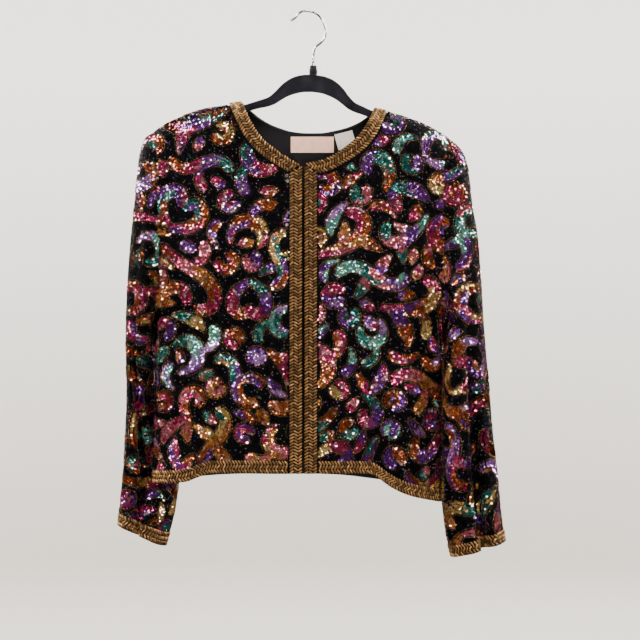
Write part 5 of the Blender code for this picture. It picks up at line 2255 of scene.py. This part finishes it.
class Jacket:
    """The beaded jacket: its cloth, braid, sequins and beads."""

    def __init__(self) -> None:
        """Lay out the grids of its cloth and braid."""
        self.pieces: list[Piece] = []
        self.bands: dict[str, ClothGrid] = {}
        backs = {side: BodyPanel(BACK, side, CENTRE_X).grid() for side in (RIGHT, LEFT)}
        first = NECK_ROWS * FINE
        shared = unit(backs[RIGHT].normals[first:, 0] + backs[LEFT].normals[first:, 0])
        for side, grid in backs.items():
            grid.normals[first:, 0] = shared
            grid.press(BACK_WRINKLES[side])
        self.pieces.append(Piece("back", list(backs.values())))
        for side in (RIGHT, LEFT):
            name = SIDE_NAMES[side]
            front = BodyPanel(FRONT, side, CENTRE_X + side * FRONT_GAP).grid()
            front.press(FRONT_WRINKLES[side])
            sleeve = SleeveTube(side, front, backs[side]).grid()
            sleeve.press(SLEEVE_WRINKLES[side])
            self.pieces += [Piece(f"front_{name}", [front]), Piece(f"sleeve_{name}", [sleeve])]
            self.lay_bands(name, front, sleeve)
        both = [
            np.concatenate((a[:, :0:-1], b), axis=1)
            for a, b in (
                (backs[RIGHT].points, backs[LEFT].points),
                (backs[RIGHT].normals, backs[LEFT].normals),
                (backs[RIGHT].flat, backs[LEFT].flat),
            )
        ]
        columns = np.arange(HEM_TRIM_END, 2 * PANEL_COLUMNS - HEM_TRIM_END + 0.01, 1 / FINE)
        self.bands["hem_trim_back"] = self.hem_band(ClothGrid(*both), columns)
        self.bands["neck_trim"] = neck_band()

    @staticmethod
    def hem_band(grid: ClothGrid, columns: np.ndarray) -> ClothGrid:
        """Band along the bottom of a panel, turned so that its rows run along the hem."""
        strip = grid.cut(np.linspace(PANEL_ROWS, PANEL_ROWS - 1, 2 * FINE + 1), columns)
        return strip.exchanged()

    def lay_bands(self, name: str, front: ClothGrid, sleeve: ClothGrid) -> None:
        """Lay out the braid of one front and its sleeve.

        Args:
            name: The wearer's side.
            front: The front's grid.
            sleeve: The sleeve's grid.
        """
        rows = np.arange(NECK_ROWS + FRONT_TRIM_START, PANEL_ROWS + 0.001, 1 / FINE)
        rows[-1] = PANEL_ROWS
        across = np.linspace(0, 1, 2 * FINE + 1)
        self.bands[f"front_trim_{name}"] = front.cut(rows, across)
        columns = np.arange(HEM_TRIM_START, PANEL_COLUMNS - HEM_TRIM_END, 1 / FINE)
        columns = np.append(columns, PANEL_COLUMNS - HEM_TRIM_END)
        self.bands[f"hem_trim_{name}"] = self.hem_band(front, columns)
        last = (sleeve.points.shape[0] - 1) / FINE
        round_it = np.linspace(0, 2 * ARM_ROWS, 2 * ARM_ROWS * FINE + 1)
        cuff = sleeve.cut(np.linspace(last, last - 1, 2 * FINE + 1), round_it)
        self.bands[f"cuff_trim_{name}"] = cuff.exchanged(closed=True)

    def build_cloth(self, ground: Material, satin: Material) -> None:
        """Make the walls of the cloth.

        Args:
            ground: Finish of the beaded outer face.
            satin: Finish of the lined inner face.
        """
        for piece in self.pieces:
            walls = [grid.wall(0.0, CLOTH) for grid in piece.grids]
            cloth = MeshMaker.wall(f"{piece.node}_cloth", walls, [ground, satin])
            piece.cloth = wear(cloth, "beaded_cloth", piece.node)

    def carrier(self, band: str) -> Piece:
        """The piece of cloth that a band of braid is sewn on."""
        part, _, side = band.partition("_trim_")
        node = {"hem": f"front_{side}", "front": f"front_{side}", "cuff": f"sleeve_{side}"}.get(part)
        pieces = {piece.node: piece for piece in self.pieces}
        return pieces.get(node, pieces["back"])

    def build_bands(self, tape: Material) -> None:
        """Make the braid's tapes.

        Args:
            tape: The tape's finish.
        """
        for node, grid in self.bands.items():
            walls = [grid.wall(LAY + TAPE, TAPE)]
            item = wear(MeshMaker.wall(f"{node}_tape", walls, [tape]), "gold_braid", node)
            self.carrier(node).sewn.append(item)

    def sew_braid(self, tree: BeadTree) -> None:
        """Sew the bugle beads on the bands.

        Args:
            tree: Nodes that set the beads.
        """
        gold = TintedBead("gold_bugle", roughness=0.3, metallic=0.8).make()
        bugle = BeadShapes.bugle()
        for seed, (node, grid) in enumerate(self.bands.items()):
            plan = Braid().plan(grid, np.random.default_rng(seed))
            beads = tree.sew(f"{node}_bugles", plan, bugle, gold, spread=0.06, tilt=0.07, seed=seed)
            self.carrier(node).sewn.append(wear(beads, "gold_braid"))
        bpy.data.objects.remove(bugle)

    def sew_cloth(self, tree: BeadTree) -> None:
        """Sew the sequins and beads on the cloth.

        Args:
            tree: Nodes that set the beads.
        """
        foil = TintedBead("sequin_foil", roughness=0.17, metallic=0.85, coat=0.4).make()
        bronze = TintedBead("outline_bead", roughness=0.25, metallic=0.8).make()
        black = TintedBead("black_bead", roughness=0.13, metallic=0.0, specular=0.1).make()
        sequin, seed_bead = BeadShapes.sequin(), BeadShapes.seed_bead()
        work = Embroidery(bands=self.bands["neck_trim"].points.reshape(-1, 3))
        kinds = {
            "sequins": (sequin, foil, 0.04, 0.24),
            "outlines": (seed_bead, bronze, 0.1, 0.3),
            "ground": (seed_bead, black, 0.12, 0.5),
        }
        for seed, piece in enumerate(self.pieces):
            rng = np.random.default_rng(100 + seed)
            plans = {kind: BeadPlan() for kind in kinds}
            for grid in piece.grids:
                last = grid.points.shape[0] - 1 - FINE
                limits = (last, -1.0) if grid.closed or piece.node == "back" else (last, FINE + 0.2)
                work.cover(Surface(grid), limits, rng, plans)
            for kind, (bead, finish, spread, tilt) in kinds.items():
                name = f"{piece.node}_{kind}"
                beads = tree.sew(name, plans[kind], bead, finish, spread, tilt, seed)
                piece.sewn.append(wear(beads, "beaded_cloth"))
        bpy.data.objects.remove(sequin)
        bpy.data.objects.remove(seed_bead)


@dataclass
class Studio:
    """Pale room, soft lamps and the camera."""

    distance: float = 2.3
    aim: tuple = (0.0145, 0.0, -0.4244)
    view_width: float = 0.883
    sensor: float = 36.0
    floor_z: float = -1.25
    floor_radius: float = 3.4
    bend: float = 1.6
    wall_top: float = 3.2
    sides: int = 96
    bend_steps: int = 16
    lamps: tuple = (
        ("key", (-1.2, -2.2, 1.1), 0.3, 40),
        ("window", (1.5, -2.3, 0.5), 0.25, 20),
        ("front", (0.1, -3.0, 1.6), 0.4, 40),
        ("low_left", (-1.9, -1.6, -0.5), 0.12, 12),
        ("low_right", (1.6, -2.2, -0.9), 0.12, 7),
        ("high_right", (2.3, -1.4, 0.9), 0.15, 12),
        ("high_left", (-2.4, -1.2, 0.5), 0.12, 14),
        ("below", (0.2, -2.4, -0.55), 0.12, 5),
        ("back", (0.6, 2.6, 1.2), 0.5, 50),
        ("back_left", (-1.8, 2.0, 0.6), 0.2, 14),
        ("back_right", (1.9, 2.2, 0.5), 0.2, 14),
        ("wall_right", (3.6, 1.0, 2.2), 2.0, 560),
        ("wall_left", (-3.6, 1.0, 2.2), 2.0, 560),
    )
    sky: dict = field(
        default_factory=lambda: {"From Min": -0.3, "From Max": 1.0, "To Min": 0.03, "To Max": 0.7}
    )

    def room(self) -> None:
        """Round room whose floor bends up into its wall, so no view meets an edge."""
        profile = [(0.0, self.floor_z), (self.floor_radius / 2, self.floor_z)]
        for n in range(self.bend_steps + 1):
            angle = math.pi / 2 * n / self.bend_steps
            radius = self.floor_radius + self.bend * math.sin(angle)
            profile.append((radius, self.floor_z + self.bend * (1 - math.cos(angle))))
        profile.append((self.floor_radius + self.bend, self.wall_top))
        mesh = bmesh.new()
        centre = mesh.verts.new((0, 0, self.floor_z))
        round_it = circle(self.sides)
        rings = []
        for radius, z in profile[1:]:
            ring = [mesh.verts.new((radius * cosine, radius * sine, z)) for cosine, sine in round_it]
            rings.append(ring)
        for k in range(self.sides):
            n = (k + 1) % self.sides
            mesh.faces.new((centre, rings[0][k], rings[0][n]))
            for ring, following in zip(rings, rings[1:]):
                mesh.faces.new((ring[k], following[k], following[n], ring[n]))
        room = MeshMaker.place("room", mesh, [RoomPaintWithPaintedShade().make()])
        room.visible_glossy = False

    def camera(self) -> None:
        """Level camera in front of the jacket, framed as the photograph is."""
        data = bpy.data.cameras.new("camera")
        data.sensor_width = self.sensor
        data.lens = self.sensor * self.distance / self.view_width
        item = link("camera", data)
        item.location = (self.aim[0], self.aim[1] - self.distance, self.aim[2])
        item.rotation_euler = (math.pi / 2, 0, 0)
        bpy.context.scene.camera = item

    def lamp(self, name: str, place: tuple, size: float, power: float) -> None:
        """Square soft lamp aimed at the jacket's middle.

        Args:
            name: The lamp's name.
            place: Where it stands, in metres.
            size: Length of its side.
            power: Its power in watts.
        """
        data = bpy.data.lights.new(name, "AREA")
        data.size = size
        data.energy = power
        item = link(name, data)
        item.location = place
        aim = Vector((0.0, 0.0, self.aim[2])) - Vector(place)
        item.rotation_euler = aim.to_track_quat("-Z", "Y").to_euler()

    def build(self) -> None:
        """Set up the room, the lamps, the sky and the camera."""
        self.room()
        self.camera()
        for lamp in self.lamps:
            self.lamp(*lamp)
        world = bpy.data.worlds.new("sky")
        world.use_nodes = True
        tree = world.node_tree
        where = tree.nodes.new("ShaderNodeTexCoord")
        height = tree.nodes.new("ShaderNodeSeparateXYZ")
        shade = tree.nodes.new("ShaderNodeMapRange")
        for name, value in self.sky.items():
            shade.inputs[name].default_value = value
        tree.links.new(where.outputs["Generated"], height.inputs["Vector"])
        tree.links.new(height.outputs["Z"], shade.inputs["Value"])
        tree.links.new(shade.outputs["Result"], tree.nodes["Background"].inputs["Strength"])
        bpy.context.scene.world = world


def main() -> None:
    """Build the studio, the hanger and the jacket in order."""
    Studio().build()
    Hanger().build()
    satin = SatinLining().make()
    NeckLining().build(satin)
    jacket = Jacket()
    jacket.build_cloth(BeadGround().make(), satin)
    jacket.build_bands(BraidTape().make())
    tree = BeadTree()
    jacket.sew_braid(tree)
    jacket.sew_cloth(tree)
    jacket.carrier("front_trim_right").sewn.append(PressStud().build())
    for piece in jacket.pieces:
        piece.declare()


if __name__ == "__main__":
    logging.basicConfig(level=logging.INFO)
    main()
